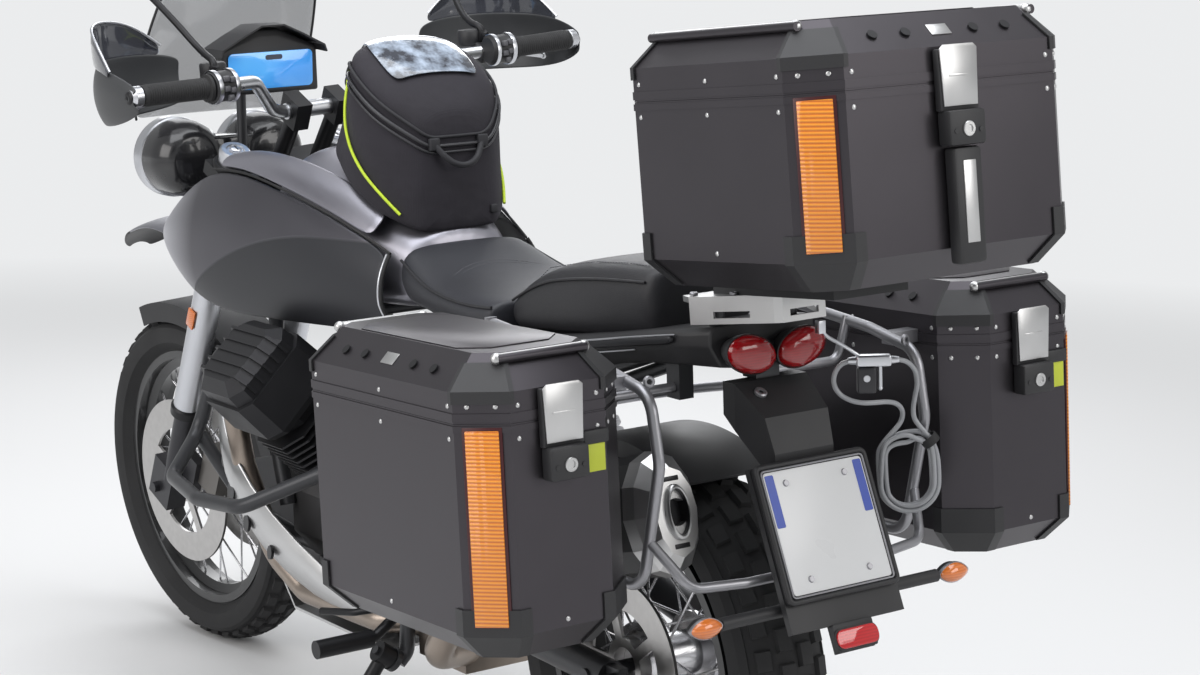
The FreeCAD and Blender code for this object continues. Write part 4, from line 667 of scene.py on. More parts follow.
made = bmesh.new()
hook = [Vector((-336, -28, 862)), Vector((-336, -28, 846)), by_lock(-37, 21), by_lock(-14, 4)]
pipe(made, hook, 2.5, 10)
box(made, (-342, -34, 846), (-333, -22, 864), 1)
piece("cable_hook", made, BIKE, "chassis", "cable_grey", 35, finish=FINISHES["fork_silver"])

STRAP_FOOT, STRAP_END = Vector((-310.7, -228, 672)), Vector((-342.2, -215.5, 672.3))
COLLAR = ((-8, 8.2), (-8, 11), (-7, 12), (7, 12), (8, 11), (8, 8.2))
BAND = ((-6, 11), (-6, 12.6), (-5, 13), (5, 13), (6, 12.6), (6, 11))
made = bmesh.new()
tube_way = Vector((46, 0, -176)).normalized()
turned_profile(made, COLLAR, STRAP_FOOT, STRAP_FOOT + tube_way, 24)
bridge_turn = (STRAP_END - STRAP_FOOT).to_track_quat("X", "Z").to_matrix().to_4x4()
bridge = Matrix.Translation((STRAP_FOOT + STRAP_END) / 2) @ bridge_turn
box(made, (-8, -3, -6), (8, 3, 6), 1.5, 2, bridge)
band_way = (CABLE_ACROSS * -23.3 + UP * 30).normalized()
turned_profile(made, BAND, STRAP_END, STRAP_END + band_way, 24)
piece("cable_strap", made, BIKE, "chassis", "cable_grey", 35, finish=FINISHES["rubber"])

FERRULE = ((-6, 3.6), (-6, 6), (4, 5.2), (9, 4.2), (9, 3.6))
made = bmesh.new()
for across, way in ((-24, -1), (28, 1)):
    place = by_lock(across, 0)
    turned_profile(made, FERRULE, place, place + CABLE_ACROSS * way, 16)
piece("cable_ferrules", made, BIKE, "chassis", "cable_grey", 35, finish=FINISHES["fork_silver"])
tuple(BIKE @ by_lock(*FIRST_END[0]))
print("cable locked")

# %% [markdown]
# The three cases are folded from anodised sheet and riveted.  Their flat panels come loaded; what a
# panel alone doesn't show is the folded rim on both sides of the seam, the rivets, the moulded corner
# guards and the fittings.  All of it follows one outline, an oblong with four cut corners, which is
# grown or shrunk by a few millimetres as each piece needs.

# %% Case outline
CASE_X, CASE_Y, CASE_Z, CASE_PITCH = -112, 398.5, 478, 1.6
TOP_X, TOP_Z, TOP_PITCH = -449, 944, 4.7
LEFT_CASE = placed(CASE_X, CASE_Y, CASE_Z, CASE_PITCH)
RIGHT_CASE = placed(CASE_X, -CASE_Y, CASE_Z, CASE_PITCH)
TOP_CASE = placed(TOP_X, 0, TOP_Z, TOP_PITCH)
CASE_CORNER, FOOT_CUT, SHOULDER_CUT, LID_GAP = 52, 38, 43, 0.4
CORNER_GROWTH = 0.586
SIDE_SIZE = {"length": 479, "width": 245, "depth": 310, "lid": 83}
TOP_SIZE = {"length": 417, "width": 440, "depth": 241, "lid": 86}
CASES = (("left", LEFT_CASE, SIDE_SIZE, "left_case_lid"), ("right", RIGHT_CASE, SIDE_SIZE, "right_case_lid"),
         ("top", TOP_CASE, TOP_SIZE, "top_case_lid"))


def case_outline(size, grow=0.0):
    half_length, half_width = size["length"] / 2 + grow, size["width"] / 2 + grow
    corner = CASE_CORNER + CORNER_GROWTH * grow
    quarter = [(half_length, half_width - corner), (half_length - corner, half_width)]
    upper = quarter + [(-x, y) for x, y in reversed(quarter)]
    return upper + [(-x, -y) for x, y in upper]


def lid_top(size):
    return size["depth"] + LID_GAP + size["lid"]


def band(made, size, low, high, grow, thickness):
    outline = case_outline(size, grow)
    skin(made, [[(x, y, z) for x, y in outline] for z in (low, high)], capped=False)
    inner = case_outline(size, grow - thickness)
    skin(made, [[(x, y, z) for x, y in inner] for z in (high, low)], capped=False)
    for z in (low, high):
        rings = [ring(made, [(x, y, z) for x, y in edge]) for edge in (outline, inner)]
        bmesh.ops.bridge_loops(made, edges=rings[0] + rings[1])
    bmesh.ops.remove_doubles(made, verts=made.verts, dist=0.01)


# %% Folded rims at the seam
RIM_OUT, RIM_SHEET, RIM_CLEAR = 1.6, 1.9, 2.4
RIM_DOWN, RIM_UP = 11, 13
for label, space, size, lid_body in CASES:
    seam = size["depth"]
    made = bmesh.new()
    band(made, size, seam - RIM_DOWN, seam - RIM_CLEAR, RIM_OUT, RIM_SHEET)
    piece(label + "_case_rim", made, space, "chassis", "case_aluminium", 25)
    made = bmesh.new()
    band(made, size, seam + LID_GAP + RIM_CLEAR, seam + LID_GAP + RIM_UP, RIM_OUT, RIM_SHEET)
    piece(label + "_lid_rim", made, space, lid_body, "case_aluminium", 25)
print("rims folded round", len(CASES), "seams")

# %% [markdown]
# Pop rivets sit a finger's width from the seam and round the foot.  Each is a flattened ball half
# sunk in the sheet.  A short side of the outline gets two, and a long one a row that starts and ends
# near its corners, so one loop over the outline's corners places them all.

# %% Rivets
RIVET_RADIUS, RIVET_RISE = 3.6, 0.45
SHORT_SIDE, RIVET_EDGE, RIVET_PITCH = 90, 12, 120


def rivet(made, place, outward):
    turn = outward.to_track_quat("Z", "Y").to_matrix().to_4x4()
    ball(made, place, (RIVET_RADIUS, RIVET_RADIUS, RIVET_RADIUS * RIVET_RISE), 10, turn)


def rivet_row(made, size, z):
    outline = case_outline(size)
    for (x, y), after in zip(outline, outline[1:] + outline[:1]):
        run = Vector((after[0] - x, after[1] - y, 0))
        outward = Vector((run.y, -run.x, 0)).normalized()
        if outward.dot(Vector((x, y, 0))) < 0:
            outward = -outward
        if run.length < SHORT_SIDE:
            shares = (0.25, 0.75)
        else:
            count = max(3, round(run.length / RIVET_PITCH))
            step = (run.length - 2 * RIVET_EDGE) / (count - 1)
            shares = [(RIVET_EDGE + k * step) / run.length for k in range(count)]
        for share in shares:
            rivet(made, Vector((x, y, z)) + run * share, outward)


for label, space, size, lid_body in CASES:
    made = bmesh.new()
    rivet_row(made, size, size["depth"] - 20)
    rivet_row(made, size, FOOT_CUT + 10)
    piece(label + "_case_rivets", made, space, "chassis", "bare_aluminium", 60)
    made = bmesh.new()
    rivet_row(made, size, size["depth"] + 22)
    piece(label + "_lid_rivets", made, space, lid_body, "bare_aluminium", 60)
print("rivets set")

# %% [markdown]
# Moulded guards wrap the four lower corners of each case, and flatter caps wrap the corners of the
# lid.  A guard is a short open shell that follows the outline over the folded edge.

# %% Corner guards
CORNERS = ((1, 1), (1, -1), (-1, 1), (-1, -1))
GUARD_OUT = 0.4
GUARD_FOOT, GUARD_HIGH, GUARD_WRAP, GUARD_WALL = 3, 34, 16, 2.6
CAP_TOP, CAP_LOW, CAP_WRAP, CAP_WALL = 12, 58, 6, 2.4


def corner_guards(made, size, levels, wrap, wall):
    for side_x, side_y in CORNERS:
        strips = []
        for z, grow in levels:
            a, b = case_outline(size, grow)[:2]
            chain = [(a[0], a[1] - wrap), a, b, (b[0] - wrap, b[1])]
            strips.append([(side_x * x, side_y * y, z) for x, y in chain])
        shell(made, strips, wall, Vector((side_x, side_y, 0)))


for label, space, size, lid_body in CASES:
    made = bmesh.new()
    levels = ((GUARD_FOOT, GUARD_OUT + GUARD_FOOT - FOOT_CUT), (FOOT_CUT, GUARD_OUT),
              (FOOT_CUT + GUARD_HIGH, GUARD_OUT))
    corner_guards(made, size, levels, GUARD_WRAP, GUARD_WALL)
    piece(label + "_corner_guards", made, space, "chassis", "black_plastic", 30)
    made = bmesh.new()
    top = lid_top(size)
    levels = ((top - CAP_LOW, GUARD_OUT), (top - SHOULDER_CUT, GUARD_OUT),
              (top - CAP_TOP, GUARD_OUT + CAP_TOP - SHOULDER_CUT))
    corner_guards(made, size, levels, CAP_WRAP, CAP_WALL)
    piece(label + "_lid_corners", made, space, lid_body, "black_plastic", 30)
print("corner guards on")

# %% [markdown]
# Along two edges of every lid runs a round rail, bright against the black, and on the other two
# slopes sit pairs of strap loops with black pins.  The rails and loops are part of the lid; here the
# rail gets its bright sleeve with end bosses, and the loops their pins and the blank bright plates
# between them.

# %% Lid rails and loop pins
RAIL_SHARE, RAIL_DOWN, RAIL_IN, RAIL_RADIUS, BOSS_RADIUS = 0.93, 6, 3, 6.7, 8
LOOP_SHARE, LOOP_DOWN, LOOP_HALF = 0.48, 24, 26
PIN_RADIUS, PIN_SINK, PIN_RISE = 7, 1, 2.2


def on_slope(size, along_x, share, out, low):
    """A place on the lid's sloping shoulder: along the edge, out from the middle, down from the top."""
    half_x, half_y = size["length"] / 2, size["width"] / 2
    up = lid_top(size) - low
    if along_x:
        return Vector((share * (half_x - CASE_CORNER), out * (half_y - SHOULDER_CUT + low), up))
    return Vector((out * (half_x - SHOULDER_CUT + low), share * (half_y - CASE_CORNER), up))


for label, space, size, lid_body in CASES:
    rails_along_x = label == "top"
    loops_along_x = not rails_along_x
    bright, dark = bmesh.new(), bmesh.new()
    for out in (1, -1):
        shift = Vector((0, out * RAIL_IN, 0)) if rails_along_x else Vector((out * RAIL_IN, 0, 0))
        ends = [on_slope(size, rails_along_x, share, out, RAIL_DOWN) + shift
                for share in (-RAIL_SHARE, RAIL_SHARE)]
        rod(bright, ends[0], ends[1], RAIL_RADIUS, steps=20)
        for end in ends:
            ball(bright, end, (BOSS_RADIUS, BOSS_RADIUS, BOSS_RADIUS), 14)
        slope = Vector((0, out, 1)) if loops_along_x else Vector((out, 0, 1))
        for centre in (-LOOP_SHARE, LOOP_SHARE):
            for foot in (-LOOP_HALF, LOOP_HALF):
                spot = on_slope(size, loops_along_x, centre, out, LOOP_DOWN)
                spot[0 if loops_along_x else 1] += foot
                rod(dark, spot - slope * PIN_SINK, spot + slope * PIN_RISE, PIN_RADIUS, steps=14)
        blank = on_slope(size, loops_along_x, 0.0, out, LOOP_DOWN - 1)
        turn = Matrix.Translation(blank) @ slope.to_track_quat("Z", "Y").to_matrix().to_4x4()
        box(bright, (-16, -9, 0), (16, 9, 1.4), 0.5, turn=turn)
    piece(label + "_lid_rail", bright, space, lid_body, "bare_aluminium", 40)
    piece(label + "_lid_pins", dark, space, lid_body, "black_metal", 40)
print("lid rails and pins fitted")

# %% [markdown]
# Each lid top carries a shallow pressed panel, which stiffens the sheet.  It is a plate of the same
# outline, shrunk and raised by a millimetre and a half.

# %% Pressed lid panels
PANEL_LONG, PANEL_WIDE, PANEL_RISE, PANEL_EDGE = 0.66, 0.62, 1.6, 0.8
for label, space, size, lid_body in CASES:
    made = bmesh.new()
    outline = [(x * PANEL_LONG, y * PANEL_WIDE) for x, y in case_outline(size)]
    plate(made, outline, PANEL_RISE, Matrix.Translation((0, 0, lid_top(size))), PANEL_EDGE)
    piece(label + "_lid_panel", made, space, lid_body, "case_aluminium", 25)
print("lid panels pressed")

# %% [markdown]
# The latch on the back of each case is a satin plate that bridges the seam over a black lock block
# with a keyhole.  A bright yellow-green key tag hangs beside each side case's lock.  The cover is
# drawn flat, so a matrix stands it up against the back of the case.

# %% Latches
FACING_BACK = Matrix(((0, 0, -1, 0), (1, 0, 0, 0), (0, 1, 0, 0), (0, 0, 0, 1)))
COVER_RISE, COVER_SHEET = 12, 2.4
KEYHOLE = ((0, 9.5), (2.2, 9.5), (3, 8.5), (3, 5), (1.4, 4.6), (1.4, 0))
TAG_FINISH = surface("key_tag", (0.55, 0.62, 0.05), 0, 0.5, 0.05, 20)


def latch(blocks, covers, back, seam):
    box(blocks, (back - COVER_RISE, -31, seam - 36), (back - 1, 31, seam + 40), 2.5)
    box(blocks, (back - 25, -29, seam - 78), (back - 0.4, 29, seam - 35), 4)
    for y in (-20, 20):
        rod(blocks, (back - 13.6, y, seam - 60), (back - 26, y, seam - 60), 3.2)
    cover = [(-27, seam - 30), (27, seam - 30), (30, seam + 40), (24, seam + 45), (-24, seam + 45),
             (-30, seam + 40)]
    stood_up = Matrix.Translation((back - COVER_RISE, 0, 0)) @ FACING_BACK
    plate(covers, cover, COVER_SHEET, stood_up, 0.8)
    turned_profile(covers, KEYHOLE, (back - 24.6, 0, seam - 58), (back - 40, 0, seam - 58), 24)
    box(covers, (back - 14.9, -17, seam + 6), (back - 13.8, 17, seam + 9), 0.4)


def key_tag(blocks, tags, back, seam):
    box(tags, (back - 4, -66, seam - 78), (back - 2.2, -36, seam - 42), 0.8)
    box(blocks, (back - 5.5, -72, seam - 42), (back - 0.6, -34, seam - 24), 2)


def long_handle(blocks, covers, back, seam):
    box(blocks, (back - 22, -22, 18), (back - 0.4, 22, seam - 80), 5)
    box(blocks, (back - 24.5, -14, seam - 66), (back - 21, 14, seam - 48), 2)
    box(covers, (back - 23.4, -10, 44), (back - 21.6, 10, seam - 96), 1)


blocks, covers, tags = bmesh.new(), bmesh.new(), bmesh.new()
for label, space, size, lid_body in CASES:
    back, seam = -size["length"] / 2, size["depth"]
    case_blocks, case_covers, case_tags = bmesh.new(), bmesh.new(), bmesh.new()
    latch(case_blocks, case_covers, back, seam)
    if label == "top":
        long_handle(case_blocks, case_covers, back, seam)
    else:
        key_tag(case_blocks, case_tags, back, seam)
    local = BIKE.inverted() @ space
    join(blocks, case_blocks, local)
    join(covers, case_covers, local)
    join(tags, case_tags, local)
piece("latch_blocks", blocks, BIKE, "chassis", "black_plastic", 35, stands_for=("case_latches",))
piece("latch_plates", covers, BIKE, "chassis", "bare_aluminium", 35)
piece("key_tags", tags, BIKE, "chassis", "orange_lens", 35, finish=TAG_FINISH)
print("latches fitted to", len(CASES), "cases")

# %% [markdown]
# The reflectors on the rear corners are pressed orange lenses with fine level ribs in a dark red
# frame.  The ribs are far too many to model, so a wave in the height map stands for them.

# %% Ribbed reflectors
RIB_PITCH, CROSS_PITCH = 5, 8
REFLECTOR_LOW, REFLECTOR_SHORT = 50, 8


def wave_along(finish, vector, axis, pitch):
    """A triangle wave from 0 to 1 with its pitch in millimetres."""
    return abs((finish.axis(vector, axis) * (1000 / pitch)).fraction() - 0.5) * 2


def ribbed_lens_finish(name, low, high):
    finish = Finish(name)
    vector = upright_vector(finish)
    ribs = wave_along(finish, vector, "Z", RIB_PITCH)
    cross = wave_along(finish, vector, "Y", CROSS_PITCH)
    colour = finish.between(low, high, finish.spread(ribs, 0.0, 0.8))
    normal = finish.bump(ribs * 0.8 + cross * 0.4, 0.8, RIB_PITCH / 4000)
    return finish.done(base_color=colour, roughness=0.14, coat_weight=1, coat_roughness=0.05, normal=normal)


RIBBED_ORANGE = ribbed_lens_finish("ribbed_orange", (0.62, 0.13, 0.006, 1), (1.0, 0.36, 0.02, 1))
MAROON = surface("maroon_frame", (0.055, 0.008, 0.010), 0, 0.32, 0.1, 40)
lenses, backings = bmesh.new(), bmesh.new()
for label, space, size, lid_body in CASES:
    side = -1 if label == "right" else 1
    from_corner = CASE_CORNER / 2
    x, y = from_corner - size["length"] / 2, side * (size["width"] / 2 - from_corner)
    corner = Matrix.Translation((x, y, 0))
    local = BIKE.inverted() @ space @ corner @ Matrix.Rotation(math.radians(-45 * side), 4, "Z")
    low, high = REFLECTOR_LOW, size["depth"] - REFLECTOR_SHORT
    box(backings, (-2.8, -26, low - 5), (-0.3, 26, high + 4), 0.8, turn=local)
    box(lenses, (-5.2, -22, low), (-2.6, 22, high), 1.2, turn=local)
piece("reflector_frames", backings, BIKE, "chassis", "orange_lens", 30, finish=MAROON)
piece("reflector_lenses", lenses, BIKE, "chassis", "orange_lens", 30, finish=RIBBED_ORANGE,
      stands_for=("case_reflectors",))
print("reflectors set on", len(CASES), "cases")

# %% [markdown]
# The tank is a pair of pressed cheeks, a shoulder on each and a ridge between them.  The shoulders
# and the ridge are given a lilac silver, which is a painted reflection of the sky on their upward
# facets.  A cheek is drawn as a few upright columns of points from its lower edge to its shoulder.
# Bridging the columns gives a coarse shell, and subdivision turns it into a smooth panel with a real
# wall.

# %% Tank cheeks and shoulders
PANEL_WALL = 4
# Each column: x, then half width and height from the lower edge up to the shoulder
CHEEK = (
    (556, ((126, 752), (142, 775), (150, 812), (142, 850), (126, 874))),
    (640, ((148, 748), (166, 778), (173, 824), (162, 874), (140, 906))),
    (760, ((170, 744), (186, 780), (192, 838), (180, 900), (158, 940))),
    (900, ((182, 738), (196, 780), (201, 848), (188, 922), (166, 966))),
    (1000, ((188, 734), (201, 778), (206, 850), (193, 930), (170, 978))),
    (1100, ((188, 738), (202, 778), (208, 842), (196, 920), (172, 972))),
    (1200, ((180, 758), (196, 788), (203, 838), (192, 895), (168, 934))),
    (1285, ((168, 794), (180, 812), (186, 838), (180, 868), (162, 890))),
    (1325, ((160, 824), (166, 832), (168, 842), (166, 852), (158, 858))),
)
SHOULDER = (
    (600, ((133, 893), (120, 918), (92, 934))),
    (700, ((148, 928), (134, 956), (104, 974))),
    (820, ((160, 957), (146, 986), (118, 1003))),
    (940, ((166, 978), (150, 1002), (128, 1014))),
    (1020, ((168, 984), (152, 1004), (136, 1010))),
    (1078, ((169, 980), (156, 994), (144, 998))),
)
# The dark inset below an arch on each cheek: its crest, and where it starts to fall off forwards
INSET_TOP, INSET_FALLS_FROM, INSET_RUN, INSET_FALL, INSET_EDGE = 893, 700, 372, 88, 2.5
NOSE_FROM, NOSE_TO = 1130, 1290
CHEEK_DARK, CHEEK_PALE = (0.085, 0.083, 0.095, 1), (0.12, 0.117, 0.132, 1)
# The silver towards the cheek's nose is a painted reflection of the sky on its front; the paint there is the same
# anthracite.
NOSE_PAINTED_SHEEN, INSET_BLACK = (0.50, 0.50, 0.54, 1), (0.030, 0.031, 0.036, 1)


def panel(made, columns, side, wall):
    shell(made, [[(x, side * y, z) for y, z in column] for x, column in columns], wall, Vector((0, side, 0)))


def bike_millimetres(finish):
    return finish.turned(turn=(-LEAN, 0, 0), scale=(0.001, 0.001, 0.001), centre=BIKE.translation)


def cheek_finish():
    finish = Finish("cheek_anthracite")
    place = bike_millimetres(finish)
    ahead, up = finish.axis(place, "X"), finish.axis(place, "Z")
    run = finish.maximum((ahead - INSET_FALLS_FROM) / INSET_RUN, 0.0)
    below = finish.spread(INSET_TOP - run * run * INSET_FALL - up, -INSET_EDGE, INSET_EDGE)
    # Painted reflection: the cheek turns silver towards its nose, where the sky shines on it.
    nose = finish.spread(ahead, NOSE_FROM, NOSE_TO)
    paint = finish.between(CHEEK_DARK, CHEEK_PALE, finish.noise(5, 2))
    colour = finish.between(finish.between(paint, NOSE_PAINTED_SHEEN, nose), INSET_BLACK, below)
    normal = finish.bump(finish.noise(1600, 2), 0.4, 0.00002, finish.bump(1 - below, 0.9, 0.003))
    return finish.done(base_color=colour, metallic=finish.spread(below, 0, 1, 0.75, 0.35), normal=normal,
                       roughness=finish.spread(below, 0, 1, 0.38, 0.46))


cheeks, shoulders = bmesh.new(), bmesh.new()
for side in (1, -1):
    panel(cheeks, CHEEK, side, PANEL_WALL)
    panel(shoulders, SHOULDER, side, PANEL_WALL)
piece("tank_cheeks", cheeks, BIKE, "chassis", "tank_grey", 60, finish=cheek_finish(),
      stands_for=("tank_sides",), smoothing=2)
# The shoulders' silver is a painted reflection of the sky on their upward facets.
piece("tank_shoulders", shoulders, BIKE, "chassis", "tank_silver", 60, smoothing=2)
print("tank cheeks skinned from", len(CHEEK), "columns a side")

# %% [markdown]
# The ridge between the shoulders is one closed skin.  It stops short of the steering head, so the
# fork's yokes can turn, and its floor hides the frame tubes as the real tank's does.  Rubber seams
# and a bright edge close the joints between the panels.

# %% Tank ridge
# Each row: x, floor, half width, height of the shoulder, height of the crest
RIDGE = ((545, 790, 84, 872, 902), (566, 778, 104, 882, 916), (640, 774, 132, 902, 950),
         (760, 772, 150, 936, 998), (880, 776, 156, 962, 1022), (925, 784, 150, 960, 1020),
         (936, 800, 138, 940, 1000))
# A section's points: share of the half width, of the wall's height, of the crest's height
HUMP = ((0.55, 0, 0), (1.0, 0.16, 0), (1.04, 0.55, 0), (0.92, 1.0, 0), (0.62, 1.0, 0.72), (0.3, 1.0, 0.96))
FILLER = ((0, 34), (4, 36), (9, 34), (11, 29), (11, 12), (13, 10), (13, 0))
UPPER_SEAM = ((556, 128, 878), (640, 143, 911), (760, 161, 945), (900, 169, 971), (1000, 173, 982),
              (1090, 175, 977))
REAR_SEAM = ((553, 128, 756), (552, 148, 786), (552, 152, 814), (553, 146, 852), (556, 130, 876))
REAR_EDGE = ((557, 130, 757), (556, 150, 786), (556, 155, 814), (557, 148, 852), (560, 132, 877))


def hump(x, floor, half, shoulder_z, top):
    wall, rise = shoulder_z - floor, top - shoulder_z
    points = [(across * half, floor + share * wall + crest * rise) for across, share, crest in HUMP]
    return whole_section(x, points, (x, 0, top))


def on_side(side, points):
    return [(x, side * y, z) for x, y, z in points]


made = bmesh.new()
skin(made, [hump(*row) for row in RIDGE])
# The ridge's silver, like the shoulders', is a painted reflection of the sky on its upward face.
piece("tank_ridge", made, BIKE, "chassis", "tank_silver", 60, stands_for=("fuel_tank",), smoothing=2)
made = bmesh.new()
turned_profile(made, FILLER, (868, 0, 1016), (868, 0, 1040), 36)
piece("filler_cap", made, BIKE, "chassis", "black_metal", 35)
made, edges = bmesh.new(), bmesh.new()
for side in (1, -1):
    pipe(made, on_side(side, UPPER_SEAM), 2.2, 6)
    pipe(made, on_side(side, REAR_SEAM), 3.4, 6)
    pipe(edges, on_side(side, REAR_EDGE), 2.6, 6)
piece("tank_edges", edges, BIKE, "chassis", "fork_silver", 60)
piece("tank_seams", made, BIKE, "chassis", "rubber", 60)
print("tank ridge skinned from", len(RIDGE), "sections")

# %% [markdown]
# The seat is foam under grained hide, in two pads.  Its sides pull in above the base and the rider's
# pad is dished.  The cover is sewn: a double row of stitches crosses the rider's pad and one row runs
# along each side of the passenger's, and piping runs along both sides of each pad.

# %% Seats
# Each row: x, low and high edge, half width at the base and at the widest, crown
SADDLE = ((545, 796, 888, 104, 116, 2), (538, 794, 887, 108, 124, 3), (480, 788, 864, 114, 134, 2),
          (420, 788, 845, 118, 139, 0), (340, 788, 837, 118, 143, -2), (268, 788, 838, 118, 145, -1),
          (243, 790, 840, 116, 140, 0), (238, 792, 834, 112, 134, 0))
PILLION = ((234, 796, 836, 96, 104, 0), (228, 792, 852, 100, 110, 3), (160, 796, 894, 101, 112, 4),
           (60, 802, 914, 98, 109, 4), (-40, 812, 922, 92, 103, 3), (-100, 818, 923, 86, 96, 2),
           (-116, 822, 914, 80, 88, 0))


def pad_section(x, low, high, base, wide, crown):
    deep = high - low
    half = [(0.7 * base, low), (base, low + 4), (wide, low + 0.42 * deep), (wide * 0.985, low + 0.74 * deep),
            (wide * 0.86, high - 2), (wide * 0.5, high + crown * 0.8)]
    return whole_section(x, half, (x, 0, high + crown))


def grained_hide_finish(name, colour):
    finish = Finish(name)
    vector = upright_vector(finish)
    grain = finish.cells(900, vector)
    drift = finish.noise(9, 3, vector)
    normal = finish.bump(grain, 0.5, 0.0005, finish.bump(drift, 0.3, 0.004))
    shade = finish.between(tinted(colour, 0.75), tinted(colour, 1.35), drift)
    return finish.done(base_color=shade, roughness=finish.spread(grain, 0.1, 0.7, 0.40, 0.55), normal=normal)


SEAT_HIDE = grained_hide_finish("seat_hide_grained", (0.024, 0.025, 0.031))
PILLION_HIDE = grained_hide_finish("pillion_hide_grained", (0.016, 0.016, 0.019))
PADS = (("rider_pad", SADDLE, SEAT_HIDE, "rider_seat"),
        ("passenger_pad", PILLION, PILLION_HIDE, "passenger_seat"))
for name, rows, hide, node in PADS:
    made = bmesh.new()
    skin(made, [pad_section(*row) for row in rows])
    pad = piece(name, made, BIKE, "chassis", "seat", 60, finish=hide, stands_for=(node,), smoothing=2)
print("sewn", len(PADS), "seat pads")

# %% [markdown]
# Thread is made stitch by stitch along a line of places on the pad, a short rod for each.  A place on
# the pad comes from the same rows that drew it, so the stitches lie on the hide.

# %% Stitches and piping
STITCH_PITCH, STITCH_LENGTH, THREAD_RADIUS, THREAD_LIFT = 6.5, 4, 0.7, 0.2
FRONT_SEAM, SEAM_GAP, SEAM_SWEEP = 470, 9, 90
SIDE_SEAM = 0.72
PIPING_OUT, PIPING_UP = 0.96, 0.80
THREAD = surface("stitch_thread", (0.11, 0.11, 0.12), 0, 0.7, 0.1, 20)


def stitches(made, points):
    for start, end in zip(points, points[1:]):
        run = end - start
        along = run.normalized()
        for step in range(int(run.length / STITCH_PITCH)):
            foot = start + along * (step * STITCH_PITCH)
            rod(made, foot, foot + along * STITCH_LENGTH, THREAD_RADIUS, steps=5)


def over_pad(rows, x, share, lift):
    """A place on a pad's top: at x, and at a share of the half width."""
    for one, two in zip(rows, rows[1:]):
        if two[0] <= x <= one[0]:
            blend = (one[0] - x) / (one[0] - two[0])
            mixed = [a + blend * (b - a) for a, b in zip(one, two)]
            high, wide, crown = mixed[2], mixed[4], mixed[5]
            fall = 12 * max(0.0, abs(share) - 0.55) ** 1.5 / 0.3
            return Vector((x, share * wide, high + crown * (1 - share * share) - fall + lift))
    raise ValueError("outside the pad")


made = bmesh.new()
for offset in (0, SEAM_GAP):
    for side in (1, -1):
        line = [over_pad(SADDLE, FRONT_SEAM - offset - SEAM_SWEEP * share * share, side * share, THREAD_LIFT)
                for share in (0, 0.2, 0.4, 0.6, 0.78)]
        stitches(made, line)
for side in (1, -1):
    line = [over_pad(PILLION, x, side * SIDE_SEAM, THREAD_LIFT) for x in (214, 160, 100, 40, -40, -90)]
    stitches(made, line)
piece("seat_stitches", made, BIKE, "chassis", "seat", 60, finish=THREAD)
made = bmesh.new()
for side in (1, -1):
    for rows, radius in ((SADDLE, 2.4), (PILLION, 2.2)):
        line = [(x, side * (wide * PIPING_OUT), low + PIPING_UP * (high - low))
                for x, low, high, base, wide, crown in rows[1:-1]]
        pipe(made, line, radius, 6)
piece("seat_piping", made, BIKE, "chassis", "seat", 60, finish=PILLION_HIDE)
print("seat stitched")

# %% [markdown]
# The tank bag is cloth over a stiff lid.  It is skinned like the seats, fuller in the middle of each
# side and drawn in at the seams.  Its lid is domed and holds a clear map pocket; bright piping, two
# zips, a grab strap and a small clip are what the eye picks out.

# %% Tank bag
# Each row: x, low and high edge, half width at the foot and at the top, crown
BAG = ((549, 902, 1078, 58, 52, 8), (556, 903, 1096, 78, 74, 10), (600, 925, 1140, 116, 116, 12),
       (650, 952, 1176, 126, 124, 12), (700, 973, 1200, 122, 114, 10), (745, 992, 1196, 108, 80, 8),
       (800, 1007, 1172, 88, 60, 6), (816, 1012, 1150, 78, 50, 4))


def bag_section(x, low, high, foot, top, crown):
    deep = high - low
    half = [(0.6 * foot, low), (foot * 0.98, low + 3), (foot * 1.03, low + 16),
            (0.5 * (foot + top), low + 0.34 * deep), (top * 1.02, low + 0.62 * deep), (top * 0.97, high - 26),
            (top * 0.86, high - 6), (top * 0.5, high + 0.7 * crown)]
    return whole_section(x, half, (x, 0, high + crown))


def cloth_finish(name, colour, thread):
    finish = Finish(name)
    vector = upright_vector(finish)
    weave = finish.axis(vector, "X") * (1000 / thread)
    weft = finish.axis(vector, "Z") * (1000 / thread) + finish.axis(vector, "Y") * (1000 / thread)
    cloth = abs(weave.fraction() - 0.5) + abs(weft.fraction() - 0.5)
    folds = finish.noise(11, 3, vector, 0.6)
    normal = finish.bump(cloth, 0.5, 0.0006, finish.bump(folds, 0.55, 0.009))
    shade = finish.between(tinted(colour, 0.7), tinted(colour, 1.5), folds)
    return finish.done(base_color=shade, roughness=0.8, normal=normal)


BAG_CLOTH = cloth_finish("bag_weave", (0.017, 0.015, 0.021), 1.6)
made = bmesh.new()
skin(made, [bag_section(*row) for row in BAG])
bag = piece("bag_body", made, BIKE, "chassis", "bag_fabric", 60, finish=BAG_CLOTH, stands_for=("tank_bag",),
            smoothing=2)
print("bag skinned from", len(BAG), "sections")

# %% [markdown]
# Zips and piping are pipes that lie on the bag.  A zip runs round it at one share of its height, and
# the bright piping sweeps down each side in an arc.

# %% Bag trims
UPPER_ZIP, LOWER_ZIP, LID_EDGE = 0.80, 0.74, 0.88
PIPING_ARC = ((792, 58, 1156), (772, 74, 1132), (742, 97, 1104), (706, 118, 1066), (660, 130, 1024),
              (612, 124, 980), (572, 98, 936))
GRAB_STRAP = ((547, 44, 1046), (532, 30, 1020), (528, 0, 1008), (532, -30, 1020), (547, -44, 1046))
PIPING = surface("bright_piping", (0.55, 0.72, 0.03), 0, 0.5, 0.08, 20)
ZIP_TEETH = surface("zip_teeth", (0.045, 0.045, 0.05), 0.3, 0.4, 0.2, 8)
WEBBING = surface("bag_webbing", (0.02, 0.02, 0.024), 0, 0.7, 0.2, 12, 1.4, 0.2)


